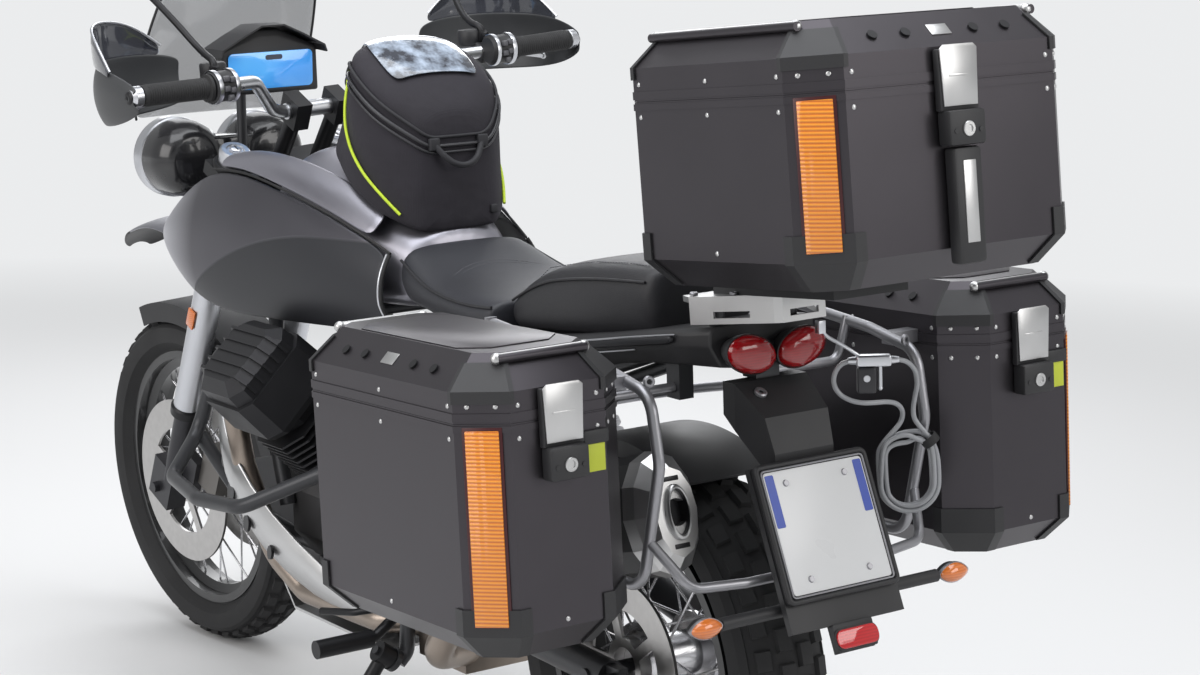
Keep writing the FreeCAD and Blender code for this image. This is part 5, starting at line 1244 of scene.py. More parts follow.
def around_bag(level, lift):
    """A closed line round the bag at a share of its height."""
    left = []
    for x, low, high, foot, top, crown in BAG:
        share = min(1.0, max(0.0, (level - 0.16) / 0.5))
        half = foot + share * (top - foot)
        if level > 0.85:
            half *= 1 - 1.1 * (level - 0.85)
        left.append((x, half + lift, low + level * (high - low)))
    front, rear = left[-1], left[0]
    nose = [(front[0] + 1 + lift, share * front[1], front[2]) for share in (0.5, -0.5)]
    tail = [(rear[0] - 1 - lift, share * rear[1], rear[2]) for share in (-0.5, 0.5)]
    return left + nose + mirrored(reversed(left)) + tail


piping, zips, trims = bmesh.new(), bmesh.new(), bmesh.new()
pipe(zips, around_bag(UPPER_ZIP, 1.0), 3.2, 6, closed=True)
pipe(zips, around_bag(LOWER_ZIP, 1.0), 2.2, 6, closed=True)
pipe(trims, around_bag(LID_EDGE, 0.6), 2.6, 6, closed=True)
for side in (1, -1):
    pipe(piping, on_side(side, PIPING_ARC), 2.6, 6)
pipe(trims, GRAB_STRAP, 5, 8)
box(trims, (541, 36, 1036), (551, 54, 1056), 2)
box(trims, (541, -54, 1036), (551, -36, 1056), 2)
box(trims, (545, -70, 926), (553, -58, 940), 2)
piece("bag_piping", piping, BIKE, "chassis", "bag_fabric", 60, finish=PIPING)
piece("bag_zips", zips, BIKE, "chassis", "bag_fabric", 60, finish=ZIP_TEETH)
piece("bag_trims", trims, BIKE, "chassis", "bag_fabric", 60, finish=WEBBING)
print("bag trimmed")

# %% [markdown]
# The map pocket is a clear sheet over a blank folded page.  It is a shell through the lid's own
# sections, lifted by the thickness of the sheet, and creases in the height map break its shine.

# %% Map window
WINDOW_LIFT = 2.2
# Share of the top's half width, share of the crown, and a small drop at the edge
WINDOW_SECTION = ((0, 1.0, 0), (0.28, 0.88, 0), (0.5, 0.66, 0), (0.68, 0.2, 2))


def map_window_finish():
    finish = Finish("map_window")
    creases = finish.noise(16, 4, upright_vector(finish), 0.65)
    shown = finish.spread(creases, 0.42, 0.62)
    colour = finish.between((0.03, 0.035, 0.05, 1), (0.42, 0.50, 0.62, 1), shown)
    return finish.done(base_color=colour, roughness=finish.spread(creases, 0.3, 0.7, 0.06, 0.2),
                       coat_weight=1, normal=finish.bump(creases, 0.5, 0.006))


def window_row(x, low, high, foot, top, crown):
    left = [(x, across * top, high + rise * crown + WINDOW_LIFT - drop)
            for across, rise, drop in WINDOW_SECTION]
    return mirrored(reversed(left[1:])) + left


made = bmesh.new()
shell(made, [window_row(*row) for row in BAG[2:7]], WINDOW_LIFT, UP)
piece("map_window", made, BIKE, "chassis", "bag_fabric", 60, finish=map_window_finish(), smoothing=2)
print("map window laid")

# %% [markdown]
# Behind the pillion pad a folded cover hides the frame's tail.  Its sides are black panels with a
# grey inlay and a thin bright line; below them a tapered arm carries the number plate.

# %% Tail panels
# Each row: x, low and high edge, half width at the base and at the widest
TAIL = ((436, 700, 786, 108, 132), (340, 716, 788, 112, 138), (240, 724, 790, 116, 142),
        (150, 742, 798, 114, 139), (60, 758, 810, 110, 134), (-30, 774, 824, 104, 127),
        (-110, 786, 838, 98, 118), (-190, 792, 850, 86, 104), (-246, 794, 857, 72, 90))
LOWER_LINE = ((436, 128, 792), (300, 141, 776), (150, 140, 774), (20, 132, 790), (-110, 119, 812))
INLAY_WALL = 3


def tail_section(x, low, high, base, wide):
    half = [(base * 0.5, low), (base, low + 5), (wide, low + 0.55 * (high - low)), (wide * 0.985, high - 8),
            (wide * 0.9, high)]
    return whole_section(x, half)


def inlay_column(x, low, high, base, wide):
    deep = high - low
    return x, ((wide + 1.2, low + 0.62 * deep), (wide + 2.6, low + 0.78 * deep),
               (wide * 0.985 + 1.2, high - 7))


def ease(grown, width, segments):
    eased = grown.modifiers.new("eased", "BEVEL")
    eased.width, eased.segments, eased.limit_method = width, segments, "ANGLE"


made, inlay, line = bmesh.new(), bmesh.new(), bmesh.new()
skin(made, [tail_section(*row) for row in TAIL])
upper_line = [(x, wide + 3.4, low + 0.86 * (high - low)) for x, low, high, base, wide in TAIL[1:8]]
for side in (1, -1):
    panel(inlay, [inlay_column(*row) for row in TAIL[3:8]], side, INLAY_WALL)
    pipe(line, on_side(side, upper_line), 1.5, 6)
    pipe(line, on_side(side, LOWER_LINE), 1.2, 6)
tail = piece("tail_cover", made, BIKE, "chassis", "black_plastic", 40, stands_for=("tail_fairing",))
ease(tail, 0.003, 2)
piece("tail_inlays", inlay, BIKE, "chassis", "tank_grey", 50, smoothing=1)
piece("tail_lines", line, BIKE, "chassis", "fork_silver", 60)
print("tail covered")

# %% [markdown]
# A tail lamp is a clear red shell over a dark bowl, with a brighter ring inside.  Transmission would
# turn grainy, so depth is faked by layers: a glossy translucent shell in front of a ringed insert.
# All three are lathe forms that face back and are flattened to an oval.

# %% Tail lights
RIBS_A_METRE = 260
LAMP_SLANT = math.radians(14)
LOOKING_BACK = Matrix.Rotation(-math.pi / 2, 4, "Y")
TAIL_SHELL = ((10, 0.98), (16, 0.98), (22, 0.9), (26, 0.72), (28.5, 0.45), (29.2, 0.0))
TAIL_RING = ((8, 0.66), (17, 0.66), (19, 0.60), (17, 0.54), (8, 0.54), (8, 0.36), (15, 0.32), (16, 0.0))
TAIL_BOWL = ((-24, 0.60), (0, 0.94), (10, 1.03), (14, 1.04), (15, 1.0), (9, 0.92), (6, 0.0))


def lens_finish(name, colour, alpha):
    finish = Finish(name)
    ribs = abs((finish.axis(upright_vector(finish), "Z") * RIBS_A_METRE).fraction() - 0.5)
    shade = finish.between(tinted(colour, 0.8), tinted(colour, 1.3), ribs)
    return finish.done(base_color=shade, roughness=0.06, coat_weight=1, alpha=alpha,
                       normal=finish.bump(ribs, 0.25, 0.0006))


RED_SHELL = lens_finish("red_shell", (0.40, 0.004, 0.008), 0.86)
RED_RING = surface("red_ring", (0.75, 0.03, 0.04), 0, 0.12, 0.1, 12, coat=1)
shells, rings, bowls = bmesh.new(), bmesh.new(), bmesh.new()
for side in (1, -1):
    slanted = Matrix.Translation((-262, side * 43, 818)) @ Matrix.Rotation(side * LAMP_SLANT, 4, "X")
    oval = slanted @ LOOKING_BACK @ Matrix.Diagonal((27, 41, 1, 1))
    for made, profile in ((shells, TAIL_SHELL), (rings, TAIL_RING), (bowls, TAIL_BOWL)):
        turned_in(made, profile, oval, 40)
piece("tail_lamp_bowls", bowls, BIKE, "chassis", "black_plastic", 40, stands_for=("tail_lights",))
piece("tail_lamp_rings", rings, BIKE, "chassis", "red_lens", 40, finish=RED_RING)
piece("tail_lamp_shells", shells, BIKE, "chassis", "red_lens", 60, finish=RED_SHELL)
print("tail lights fitted")

# %% [markdown]
# The number plate sits in a frame on the slanted board.  It is blank, with the blue strips that such
# plates have along the upper half of both sides.  A shape drawn in the plate's own plane is easiest:
# x runs down the plate, y across and z out of it.

# %% Number plate
PLATE_TILT = math.radians(23)
ROUND_STEPS = 5
plate_turn = Matrix(((-math.sin(PLATE_TILT), 0, -math.cos(PLATE_TILT), 0), (0, -1, 0, 0),
                     (-math.cos(PLATE_TILT), 0, math.sin(PLATE_TILT), 0), (0, 0, 0, 1)))
PLATE_FACE = BIKE @ Matrix.Translation((-376, 0, 592)) @ plate_turn
PLATE_BLUE = surface("plate_blue", (0.015, 0.06, 0.42), 0, 0.3, 0.05, 40)
REFLECTOR_RED = lens_finish("red_reflector", (0.62, 0.01, 0.015), 1)


def rounded(half_down, half_across, radius, middle=(0, 0)):
    """An oblong outline with round corners, in x and y."""
    points = []
    for quarter, (down, across) in enumerate(((1, 1), (-1, 1), (-1, -1), (1, -1))):
        for step in range(ROUND_STEPS + 1):
            angle = math.pi / 2 * (quarter + step / ROUND_STEPS)
            points.append((middle[0] + down * (half_down - radius) + radius * math.cos(angle),
                           middle[1] + across * (half_across - radius) + radius * math.sin(angle)))
    return points


def flat(made, outline, low, high, bevel=0.0):
    plate(made, outline, high - low, Matrix.Translation((0, 0, low)), bevel)


enamel, strips, board, rim_line = (bmesh.new() for _ in range(4))
flat(enamel, rounded(84, 84, 5), 3, 6, 0.6)
for side in (1, -1):
    flat(strips, rounded(36, 7, 2, (-44, side * 75)), 6, 6.4)
flat(board, rounded(94, 94, 7), -6, 3, 1.2)
flat(board, rounded(19, 34, 3, (150, 0)), -6, 2, 1)
pipe(board, [(x, y, 4) for x, y in rounded(92, 92, 7)], 4.2, 8, closed=True, sharp=True)
pipe(rim_line, [(x, y, 6.4) for x, y in rounded(86.5, 86.5, 5)], 1.5, 6, closed=True, sharp=True)
for across in (-50, 50):
    for down in (-66, 66):
        rod(rim_line, (down, across, 6), (down, across, 8.5), 5, 4, 14)
glass, backs = bmesh.new(), bmesh.new()
flat(backs, rounded(15, 37, 12, (153, 0)), 2, 5, 0.8)
flat(glass, rounded(13, 35, 11, (153, 0)), 5, 8, 1)
piece("plate_board", board, PLATE_FACE, "chassis", "black_plastic", 40)
piece("plate_face", enamel, PLATE_FACE, "chassis", "black_plastic", 40, finish=FINISHES["plate"])
piece("plate_strips", strips, PLATE_FACE, "chassis", "black_plastic", 40, finish=PLATE_BLUE)
piece("plate_rim", rim_line, PLATE_FACE, "chassis", "rack_silver", 40)
piece("rear_reflector", glass, PLATE_FACE, "chassis", "red_lens", 40, finish=REFLECTOR_RED)
piece("rear_reflector_back", backs, PLATE_FACE, "chassis", "black_plastic", 40)
print("plate and reflector set")

# %% [markdown]
# Each rear indicator is a dark pod on the cross tube with a pointed amber lens and a pale rim.  One
# lathe form, flattened to an almond, makes all three layers of it.

# %% Rear indicators
POD = ((-13, 0.0), (-12, 0.45), (-6, 0.86), (4, 0.97), (4, 0.0))
POD_RIM = ((3, 0.9), (3, 0.99), (6, 1.0), (8, 0.96), (8, 0.9))
POD_LENS = ((4, 0.93), (8, 0.93), (13, 0.76), (17, 0.42), (18, 0.0))
POD_POINT = 0.35
AMBER = lens_finish("amber_lens", (0.85, 0.22, 0.04), 1)
pods, lenses, rims = bmesh.new(), bmesh.new(), bmesh.new()
for side in (1, -1):
    almond = Matrix.Translation((-386, side * 213, 493)) @ LOOKING_BACK @ Matrix.Diagonal((15, 27, 1, 1))
    for made, profile in ((pods, POD), (rims, POD_RIM), (lenses, POD_LENS)):
        form = bmesh.new()
        turned_profile(form, profile, (0, 0, 0), (0, 0, 1), 36)
        for vert in form.verts:
            vert.co.x *= 1 - POD_POINT * vert.co.y ** 2
        join(made, form, almond)
piece("indicator_pods", pods, BIKE, "chassis", "black_plastic", 45, stands_for=("rear_signals",))
piece("indicator_rims", rims, BIKE, "chassis", "rack_silver", 45)
piece("indicator_lenses", lenses, BIKE, "chassis", "orange_lens", 60, finish=AMBER)
print("indicators set")

# %% [markdown]
# Small fasteners tell the eye how large everything is.  A cap screw is a turned head with a dark
# socket, and one function sets a screw at a place, pointing out along a direction.

# %% Screws
RACK_FOOT = Vector((-330, 0, 898))
RACK_SPREAD, RACK_SLOPE = 0.42, 0.082


def screw(heads, sockets, place, out, radius=6, high=4):
    place, out = Vector(place), Vector(out).normalized()
    sunk = high * 0.5
    head = ((0, radius), (high * 0.7, radius), (high, radius * 0.8), (high, radius * 0.5),
            (sunk, radius * 0.45), (sunk, 0))
    bottom = ((sunk, radius * 0.46), (sunk + 0.15, radius * 0.44), (sunk + 0.15, 0))
    turned_profile(heads, head, place, place + out, 16)
    turned_profile(sockets, bottom, place, place + out, 6)


heads, sockets = bmesh.new(), bmesh.new()
screw(heads, sockets, (-283, 34, 764), (-0.55, 0, 0.83), 9, 5)
for side in (1, -1):
    for x in (-20, 60, 118):
        on_rack = Vector((x, side * (40 + RACK_SPREAD * max(0, x)), 9 - RACK_SLOPE * x))
        screw(heads, sockets, RACK_FOOT + on_rack, UP)
    screw(heads, sockets, (-285, side * 219, 806), (-1, side * 0.3, 0.1), 8, 5)
piece("frame_screws", heads, BIKE, "chassis", "rack_silver", 40)
piece("screw_sockets", sockets, BIKE, "chassis", "black_metal", 40)
print("screws set")

# %% [markdown]
# The silencer ends in a machined cap with a short oval outlet, dark inside.  Two slots are pressed
# into the cap beside it.  The outlet is a lathe form flattened sideways, in the silencer's frame.

# %% Silencer outlet
SILENCER_END, SILENCER_START = Vector((-196, 152, 598)), Vector((168, 152, 500))
OUTLET = ((34, 31), (58, 29.5), (61, 28), (62, 26), (61, 24.6), (40, 24))
OUTLET_BORE = ((38, 24.2), (60, 24.2), (60, 23.8), (39, 23.4), (39, 0))
tail_axis = (SILENCER_END - SILENCER_START).normalized()
MOUTH = Matrix.Translation(SILENCER_END) @ tail_axis.to_track_quat("Z", "Y").to_matrix().to_4x4()
oval = MOUTH @ Matrix.Diagonal((0.62, 1.3, 1, 1))
made, bore = bmesh.new(), bmesh.new()
turned_in(made, OUTLET, oval, 44)
turned_in(bore, OUTLET_BORE, oval, 44)
for up in (-46, 46):
    box(bore, (-13, up - 4, 49), (13, up + 4, 52.6), 1.4, 2, MOUTH)
piece("silencer_outlet", made, BIKE, "chassis", "bare_aluminium", 40)
piece("silencer_bore", bore, BIKE, "chassis", "black_metal", 40)
print("silencer outlet turned")

# %% [markdown]
# The skid plate is pressed sheet.  Its flanks rise over the exhaust pipes and are pierced by round
# holes, so each flank is a panel that stands just outside the pipes, with turned dark eyelets.

# %% Skid plate flanks
# Each row: x, half width and height of the foot, rise of the flank, half width where it stands out
WING = ((700, 100, 212, 60, 118), (790, 108, 222, 96, 146), (900, 124, 250, 150, 186),
        (1000, 138, 300, 190, 206), (1075, 134, 380, 190, 190), (1118, 118, 440, 160, 156))
# Each hole: x, y, z and radius
HOLES = ((1052, 201, 470, 15), (1012, 211, 420, 19), (962, 209, 372, 15), (900, 198, 330, 12))
FLANK_WALL, EYELET_DEEP = 3, 5


def wing_column(x, low_half, foot, rise, half):
    return x, ((low_half, foot), (low_half + 0.55 * (half - low_half), foot + 0.16 * rise),
               (half + 8, foot + 0.45 * rise), (half + 16, foot + 0.72 * rise), (half + 6, foot + rise))


made, eyelets = bmesh.new(), bmesh.new()
for side in (1, -1):
    panel(made, [wing_column(*row) for row in WING], side, FLANK_WALL)
    out = Vector((0.16, side, 0.12)).normalized()
    for x, y, z, radius in HOLES:
        place = Vector((x, side * (y - 2), z))
        eyelet = ((0, 0), (0, radius), (EYELET_DEEP, radius), (EYELET_DEEP, 0))
        turned_profile(eyelets, eyelet, place, place + out, 24)
piece("skid_flanks", made, BIKE, "chassis", "bare_aluminium", 50, smoothing=1)
piece("skid_holes", eyelets, BIKE, "chassis", "black_metal", 40)
print("skid plate flanks pressed with", len(HOLES), "holes a side")

# %% [markdown]
# Everything on the handlebar is drawn in the fork's own frame, so it turns with the steering.  The
# grips are turned rubber with fine rings.  The levers are bent rods in bare alloy, and the switch
# pods are turned shells held by two bright clamps, with a few small buttons on the rider's side.

# %% Grips, pods and levers
GRIP_X, GRIP_Z = -160, 1038
GRIP_INNER, GRIP_OUTER = 307, 432
GRIP_RINGS = 26
GRIP_COLLAR = ((0, 14), (0, 23), (5, 23), (7, 18))
GRIP_RING = ((0, 17.6), (1.1, 17.9), (2.6, 17.9), (3.4, 17.1))
BAR_END = ((0, 0), (0, 15), (2, 17), (14, 17), (20, 12), (20, 0))
SWITCH_POD = ((2, 0), (2, 24), (6, 27), (18, 25.4), (34, 25.4), (45, 27), (49, 22), (49, 0))
OUTER_CLAMP = ((4, 26.8), (4, 28.2), (9, 28.6), (12, 28.2), (12, 26.4))
INNER_CLAMP = ((37, 26.4), (37, 28), (40, 28.4), (44, 28), (44, 26.4))
LEVER_HUB = ((0, 0), (0, 20), (3, 22), (24, 22), (27, 20), (27, 0))
# Each button: how far inside the grip and how far up
BUTTONS = ((20, 14), (20, -2), (31, 12), (31, -5), (26, -17))
# Each point: forward, across and up, as by_grip takes them
LEVER = ((46, 268, -8), (74, 300, -8), (82, 345, -14), (74, 400, -22), (70, 430, -28))
LEVER_SWELL = (1.1, 1.0, 0.85, 0.8, 1.05)
SWITCH_GREY = surface("switch_grey", (0.09, 0.09, 0.1), 0, 0.4, 0.15, 12)


def by_grip(side, forward, across, up):
    """Millimetres in the fork's frame, with forward and up level and upright on the machine."""
    return Vector((GRIP_X + forward * math.cos(RAKE) + up * math.sin(RAKE), side * across,
                   GRIP_Z - forward * math.sin(RAKE) + up * math.cos(RAKE)))


length = GRIP_OUTER - GRIP_INNER
grip = list(GRIP_COLLAR)
for k in range(GRIP_RINGS):
    foot = 9 + k * (length - 14) / GRIP_RINGS
    grip += [(foot + step, radius) for step, radius in GRIP_RING]
grip += [(length, 17), (length, 0)]
grips, pods, clamps, levers, buttons = (bmesh.new() for _ in range(5))
for side in (1, -1):
    inner, outer = (GRIP_X, side * GRIP_INNER, GRIP_Z), (GRIP_X, side * GRIP_OUTER, GRIP_Z + 2)
    turned_profile(grips, grip, inner, outer, 32)
    turned_profile(clamps, BAR_END, outer, (GRIP_X, side * (GRIP_OUTER + 1), GRIP_Z + 2), 28)
    pod_end = (GRIP_X + 3, side * (GRIP_INNER - 50), GRIP_Z - 1)
    for made, profile in ((pods, SWITCH_POD), (clamps, OUTER_CLAMP), (clamps, INNER_CLAMP)):
        turned_profile(made, profile, inner, pod_end, 36)
    for inside, up in BUTTONS:
        place = Matrix.Translation(by_grip(side, -24, GRIP_INNER - inside, up))
        box(buttons, (-5, -5, -4.5), (3, 5, 4.5), 1.6, 2, place @ Matrix.Rotation(RAKE, 4, "Y"))
    low, high = sorted((side * 257, side * 285))
    box(pods, (GRIP_X + 10, low, GRIP_Z - 34), (GRIP_X + 52, high, GRIP_Z - 6), 4, 3)
    turned_profile(pods, LEVER_HUB, by_grip(side, 60, 262, 8), by_grip(side, 60, 262, 9), 28)
    lever = [by_grip(side, *point) for point in LEVER]
    pipe(levers, lever, 6, 12, scales=LEVER_SWELL)
    ball(levers, lever[-1], (7.5, 7.5, 7.5), 16)
piece("grips", grips, FORK, "steering", "rubber", 50, stands_for=("hand_controls",))
piece("switch_pods", pods, FORK, "steering", "black_plastic", 35)
piece("pod_clamps", clamps, FORK, "steering", "fork_silver", 35)
piece("switches", buttons, FORK, "steering", "black_plastic", 35, finish=SWITCH_GREY)
piece("hand_levers", levers, FORK, "steering", "bar_silver", 60)
print("controls set")

# %% [markdown]
# A hand guard is a moulded shell that wraps the grip from its end round to the lever's root, with a
# smoked deflector above it.  Upright columns of points, bridged and subdivided, give its curve.

# %% Hand guards
# Each row: forward, across, low and high edge
GUARD = ((-16, 447, -20, 14), (30, 452, -40, 32), (96, 450, -52, 44), (160, 428, -54, 48),
         (198, 378, -54, 50), (206, 318, -50, 50), (202, 268, -44, 44), (196, 248, -34, 34))
DEFLECTOR = ((52, 454, 30, 40), (104, 447, 40, 84), (158, 428, 44, 108), (196, 380, 46, 112),
             (204, 318, 46, 96), (203, 276, 42, 60))
# How far a column bulges at each share of its height
GUARD_BULGE = ((0, -7), (0.2, 1), (0.5, 5), (0.8, 2), (1, -4))
DEFLECTOR_BULGE = ((0, 4), (0.5, 7), (1, 2))
WRAP_FROM = 400
GUARD_GREY = surface("guard_grey", (0.045, 0.047, 0.05), 0, 0.42, 0.12, 90, 0.9, 0.06)


def bulged(side, rows, bulges, wraps):
    """Columns that bulge forward, and outward as well where the guard wraps the grip's end."""
    columns = []
    for forward, across, low, high in rows:
        outward = 1 if wraps and across > WRAP_FROM else 0
        columns.append([by_grip(side, forward + bulge, across + bulge * outward, low + share * (high - low))
                        for share, bulge in bulges])
    return columns


def smoke_finish():
    finish = Finish("deflector_smoke")
    haze = finish.noise(18, 3)
    colour = finish.between((0.02, 0.022, 0.03, 1), (0.05, 0.055, 0.075, 1), haze)
    return finish.done(base_color=colour, roughness=finish.spread(haze, 0.3, 0.7, 0.05, 0.14), coat_weight=1,
                       alpha=0.86)


walls, smoked, rims, ends = (bmesh.new() for _ in range(4))
for side in (1, -1):
    out = Vector((0.5, side, 0))
    shell(walls, bulged(side, GUARD, GUARD_BULGE, True), 4, out)
    shell(smoked, bulged(side, DEFLECTOR, DEFLECTOR_BULGE, False), 3, out)
    pipe(rims, [by_grip(side, forward + 2, across, high) for forward, across, low, high in DEFLECTOR], 2.2, 6)
    pipe(ends, [by_grip(side, 0, 450, 0), by_grip(side, 60, 449, -4), by_grip(side, 120, 438, -6)], 7, 10)
    screw(ends, rims, by_grip(side, 0, 450, 0), (0, side, 0), 11, 6)
piece("guard_shells", walls, FORK, "steering", "black_plastic", 60, finish=GUARD_GREY,
      stands_for=("hand_guards",), smoothing=2)
piece("deflectors", smoked, FORK, "steering", "screen", 60, finish=smoke_finish(), smoothing=2)
piece("deflector_edges", rims, FORK, "steering", "fork_silver", 60)
piece("guard_arms", ends, FORK, "steering", "black_metal", 40)
print("hand guards shelled")

# %% [markdown]
# The mirrors stand on bent stems.  A mirror's back is a shallow bowl, its glass a flat oval just
# inside the rim.  The glass can't be a picture of the sky, so it is plain polished metal.

# %% Mirrors
STEM = ((80, 267, 50), (150, 287, 118), (196, 319, 176))
STEM_NUT = ((0, 9), (14, 9), (17, 7), (17, 0))
MIRROR_BACK = ((-13, 0), (-11, 0.5), (-6, 0.8), (4, 0.97), (11, 1.0), (12, 0.98), (9, 0.95), (8, 0))
MIRROR_GLASS = ((8.2, 0), (9.6, 0.94), (8.6, 0.945))
SILVERING = surface("mirror_silvering", (0.78, 0.79, 0.8), 1, 0.04, 0.01, 40)
stems, backs, glass = bmesh.new(), bmesh.new(), bmesh.new()
for side in (1, -1):
    root = Vector((GRIP_X + 43, side * 273, GRIP_Z - 3.7))
    pipe(stems, [root, root + UP * 24] + [by_grip(side, *point) for point in STEM], 6, 14)
    turned_profile(stems, STEM_NUT, root, root + UP, 6)
    head = Matrix.Translation(by_grip(side, 198, 331, 192)) @ Matrix.Rotation(RAKE - math.pi / 2, 4, "Y")
    oval = head @ Matrix.Diagonal((41, 75, 1, 1))
    turned_in(backs, MIRROR_BACK, oval, 44)
    turned_in(glass, MIRROR_GLASS, oval, 44)
piece("mirror_stems", stems, FORK, "steering", "black_metal", 50, stands_for=("mirrors",))
piece("mirror_backs", backs, FORK, "steering", "black_plastic", 50)
piece("mirror_glass", glass, FORK, "steering", "bar_silver", 50, finish=SILVERING)
print("mirrors up")

# %% [markdown]
# Bright anodised caps close the fork legs.  Two turned clamps sit at the yokes, and small amber
# reflectors are fixed to the outer tubes.

# %% Fork fittings
LEG_X, LEG_OUT = 21, 105
LEG_CAP = ((-6, 27.4), (4, 28.6), (8, 28), (11, 25), (11, 17), (8, 15.5), (8, 0))
LEG_NUT = ((8, 11), (14, 11), (15, 9), (15, 0))
YOKE_CLAMP = ((0, 27.6), (0, 34), (3, 35.5), (35, 35.5), (38, 34), (38, 27.6))
LEG_SEAL = ((0, 27.4), (0, 30), (16, 31), (20, 27.4))
caps, bands, slots, amber = (bmesh.new() for _ in range(4))
for side in (1, -1):
    leg = Vector((LEG_X, side * LEG_OUT, 0))
    top = leg + UP * 767
    turned_profile(caps, LEG_CAP, top, top + UP, 40)
    turned_profile(caps, LEG_NUT, top, top + UP, 6)
    box(slots, (13, side * LEG_OUT - 1.2, 781), (27, side * LEG_OUT + 1.2, 782.6), 0.3, 1)
    for foot in (552, 712):
        turned_profile(bands, YOKE_CLAMP, leg + UP * foot, leg + UP * (foot + 1), 36)
        for up in (11, 27):
            screw(bands, slots, (-13, side * (LEG_OUT + 8), foot + up), (-1, 0.25 * side, 0), 5, 4)
    low, high = sorted((side * 131.5, side * 135.5))
    box(amber, (9, low, 396), (33, high, 434), 3, 2)
    turned_profile(bands, LEG_SEAL, leg + UP * 190, leg + UP * 191, 36)
piece("fork_caps", caps, FORK, "steering", "fork_silver", 35)
piece("fork_bands", bands, FORK, "steering", "black_metal", 35)
piece("fork_slots", slots, FORK, "steering", "black_metal", 35)
piece("fork_reflectors", amber, FORK, "steering", "orange_lens", 40, finish=AMBER)
print("fork fitted out")

# %% [markdown]
# The dash is a flat colour display under a peaked black hood.  The real one shows a sky-blue page;
# here the page is bare but for one short dark mark, and it gives off a little light.

# %% Dash
# Each row: x, half width, floor, top of the sides, peak
DASH = ((1198, 92, 1094, 1168, 1192), (1204, 98, 1090, 1172, 1206), (1240, 98, 1100, 1174, 1208),
        (1264, 84, 1116, 1180, 1204))
DASH_PEAK = 0.22
HOOD_EDGE = ((-104, 1160), (-100, 1172), (-58, 1194), (-22, 1211), (22, 1211), (58, 1194), (100, 1172),
             (104, 1160))
# Each row: x, share of the edge's width, lift
HOOD = ((1176, 1.0, 0), (1215, 1.02, 2), (1262, 0.98, 0))
PAGE_LEAN, PAGE_SHEET = math.radians(4), 2.4
PAGE_MARK = surface("display_marks", (0.02, 0.03, 0.06), 0, 0.2, 0.05, 10, coat=1)


def dash_section(x, wide, low, high, peak):
    return whole_section(x, [(wide, low), (wide, high), (DASH_PEAK * wide, peak)])


def display_finish():
    finish = Finish("dash_display")
    drift = finish.noise(7, 2, upright_vector(finish))
    page = finish.between((0.05, 0.30, 0.78, 1), (0.16, 0.52, 0.95, 1), finish.spread(drift, 0.35, 0.65))
    return finish.done(base_color=page, roughness=0.12, coat_weight=1, emission_color=page,
                       emission_strength=0.35)


body, hood, page, marks = (bmesh.new() for _ in range(4))
skin(body, [dash_section(*row) for row in DASH])
face = Matrix.Translation((1197, 0, 1133)) @ Matrix.Rotation(-math.pi / 2 - PAGE_LEAN, 4, "Y")
plate(page, rounded(33, 84, 9), PAGE_SHEET, face, 0.8)
plate(marks, rounded(4.5, 17, 4, (23, -6)), 0.5, face @ Matrix.Translation((0, 0, PAGE_SHEET)))
shell(hood, [[(x, y * share, z + lift) for y, z in HOOD_EDGE] for x, share, lift in HOOD], 3, UP)
dash = piece("dash_body", body, BIKE, "chassis", "black_plastic", 40, stands_for=("dash",))
ease(dash, 0.005, 3)
piece("dash_hood", hood, BIKE, "chassis", "black_plastic", 40)
piece("dash_display", page, BIKE, "chassis", "black_plastic", 40, finish=display_finish())
piece("dash_marks", marks, BIKE, "chassis", "black_plastic", 40, finish=PAGE_MARK)
print("dash lit")

# %% [markdown]
# Each headlamp is a bowl with a bright ring and a clear, slightly domed glass; behind the glass sits
# a dish with a lamp in its middle.  The glass uses alpha rather than refraction, which keeps the
# render clean and survives the export.

# %% Headlamps
HEAD_BOWL = ((0, 0), (0, 40), (6, 54), (24, 67), (50, 71.5), (84, 72), (84, 0))
HEAD_RING = ((84, 70), (86, 74), (92, 75.5), (112, 75.5), (118, 73), (119, 69), (112, 66), (84, 66))
HEAD_DISH = ((60, 0), (60, 12), (70, 30), (96, 60), (108, 66))
HEAD_BULB = ((60, 13), (92, 13), (96, 9), (97, 0))
HEAD_GLASS = ((110, 67), (114, 60), (118, 40), (120, 0))
DISH_SILVER = surface("lamp_dish", (0.7, 0.71, 0.73), 1, 0.12, 0.03, 20)


def clear_finish(name, colour, alpha):
    finish = Finish(name)
    haze = finish.noise(16, 3)
    return finish.done(base_color=colour, roughness=finish.spread(haze, 0.3, 0.7, 0.03, 0.1), coat_weight=1,
                       alpha=alpha)


bowls, bezels, dishes, glasses = (bmesh.new() for _ in range(4))
for side in (1, -1):
    back, front = (1355, side * 82, 965), (1475, side * 82, 965)
    for made, profile, steps in ((bowls, HEAD_BOWL, 48), (bezels, HEAD_RING, 56), (dishes, HEAD_DISH, 48),
                                 (dishes, HEAD_BULB, 24), (glasses, HEAD_GLASS, 48)):
        turned_profile(made, profile, back, front, steps)
box(bowls, (1362, -70, 925), (1426, 70, 1005), 8, 3)
piece("headlamp_bowls", bowls, BIKE, "chassis", "lamp", 40, stands_for=("headlamps",))
piece("headlamp_rings", bezels, BIKE, "chassis", "fork_silver", 40)
piece("headlamp_dishes", dishes, BIKE, "chassis", "fork_silver", 50, finish=DISH_SILVER)
piece("headlamp_glasses", glasses, BIKE, "chassis", "screen", 60,
      finish=clear_finish("lamp_glass", (0.8, 0.84, 0.86, 1), 0.3))
print("headlamps glazed")

# %% [markdown]
# The screen is one curved pane, and the beak is a curved panel with a black tip.  Each is drawn as
# rows of points across the machine, so that its crown comes from a formula, and then subdivided.

# %% Screen and beak
SPREAD = (-1, -0.86, -0.55, 0, 0.55, 0.86, 1)
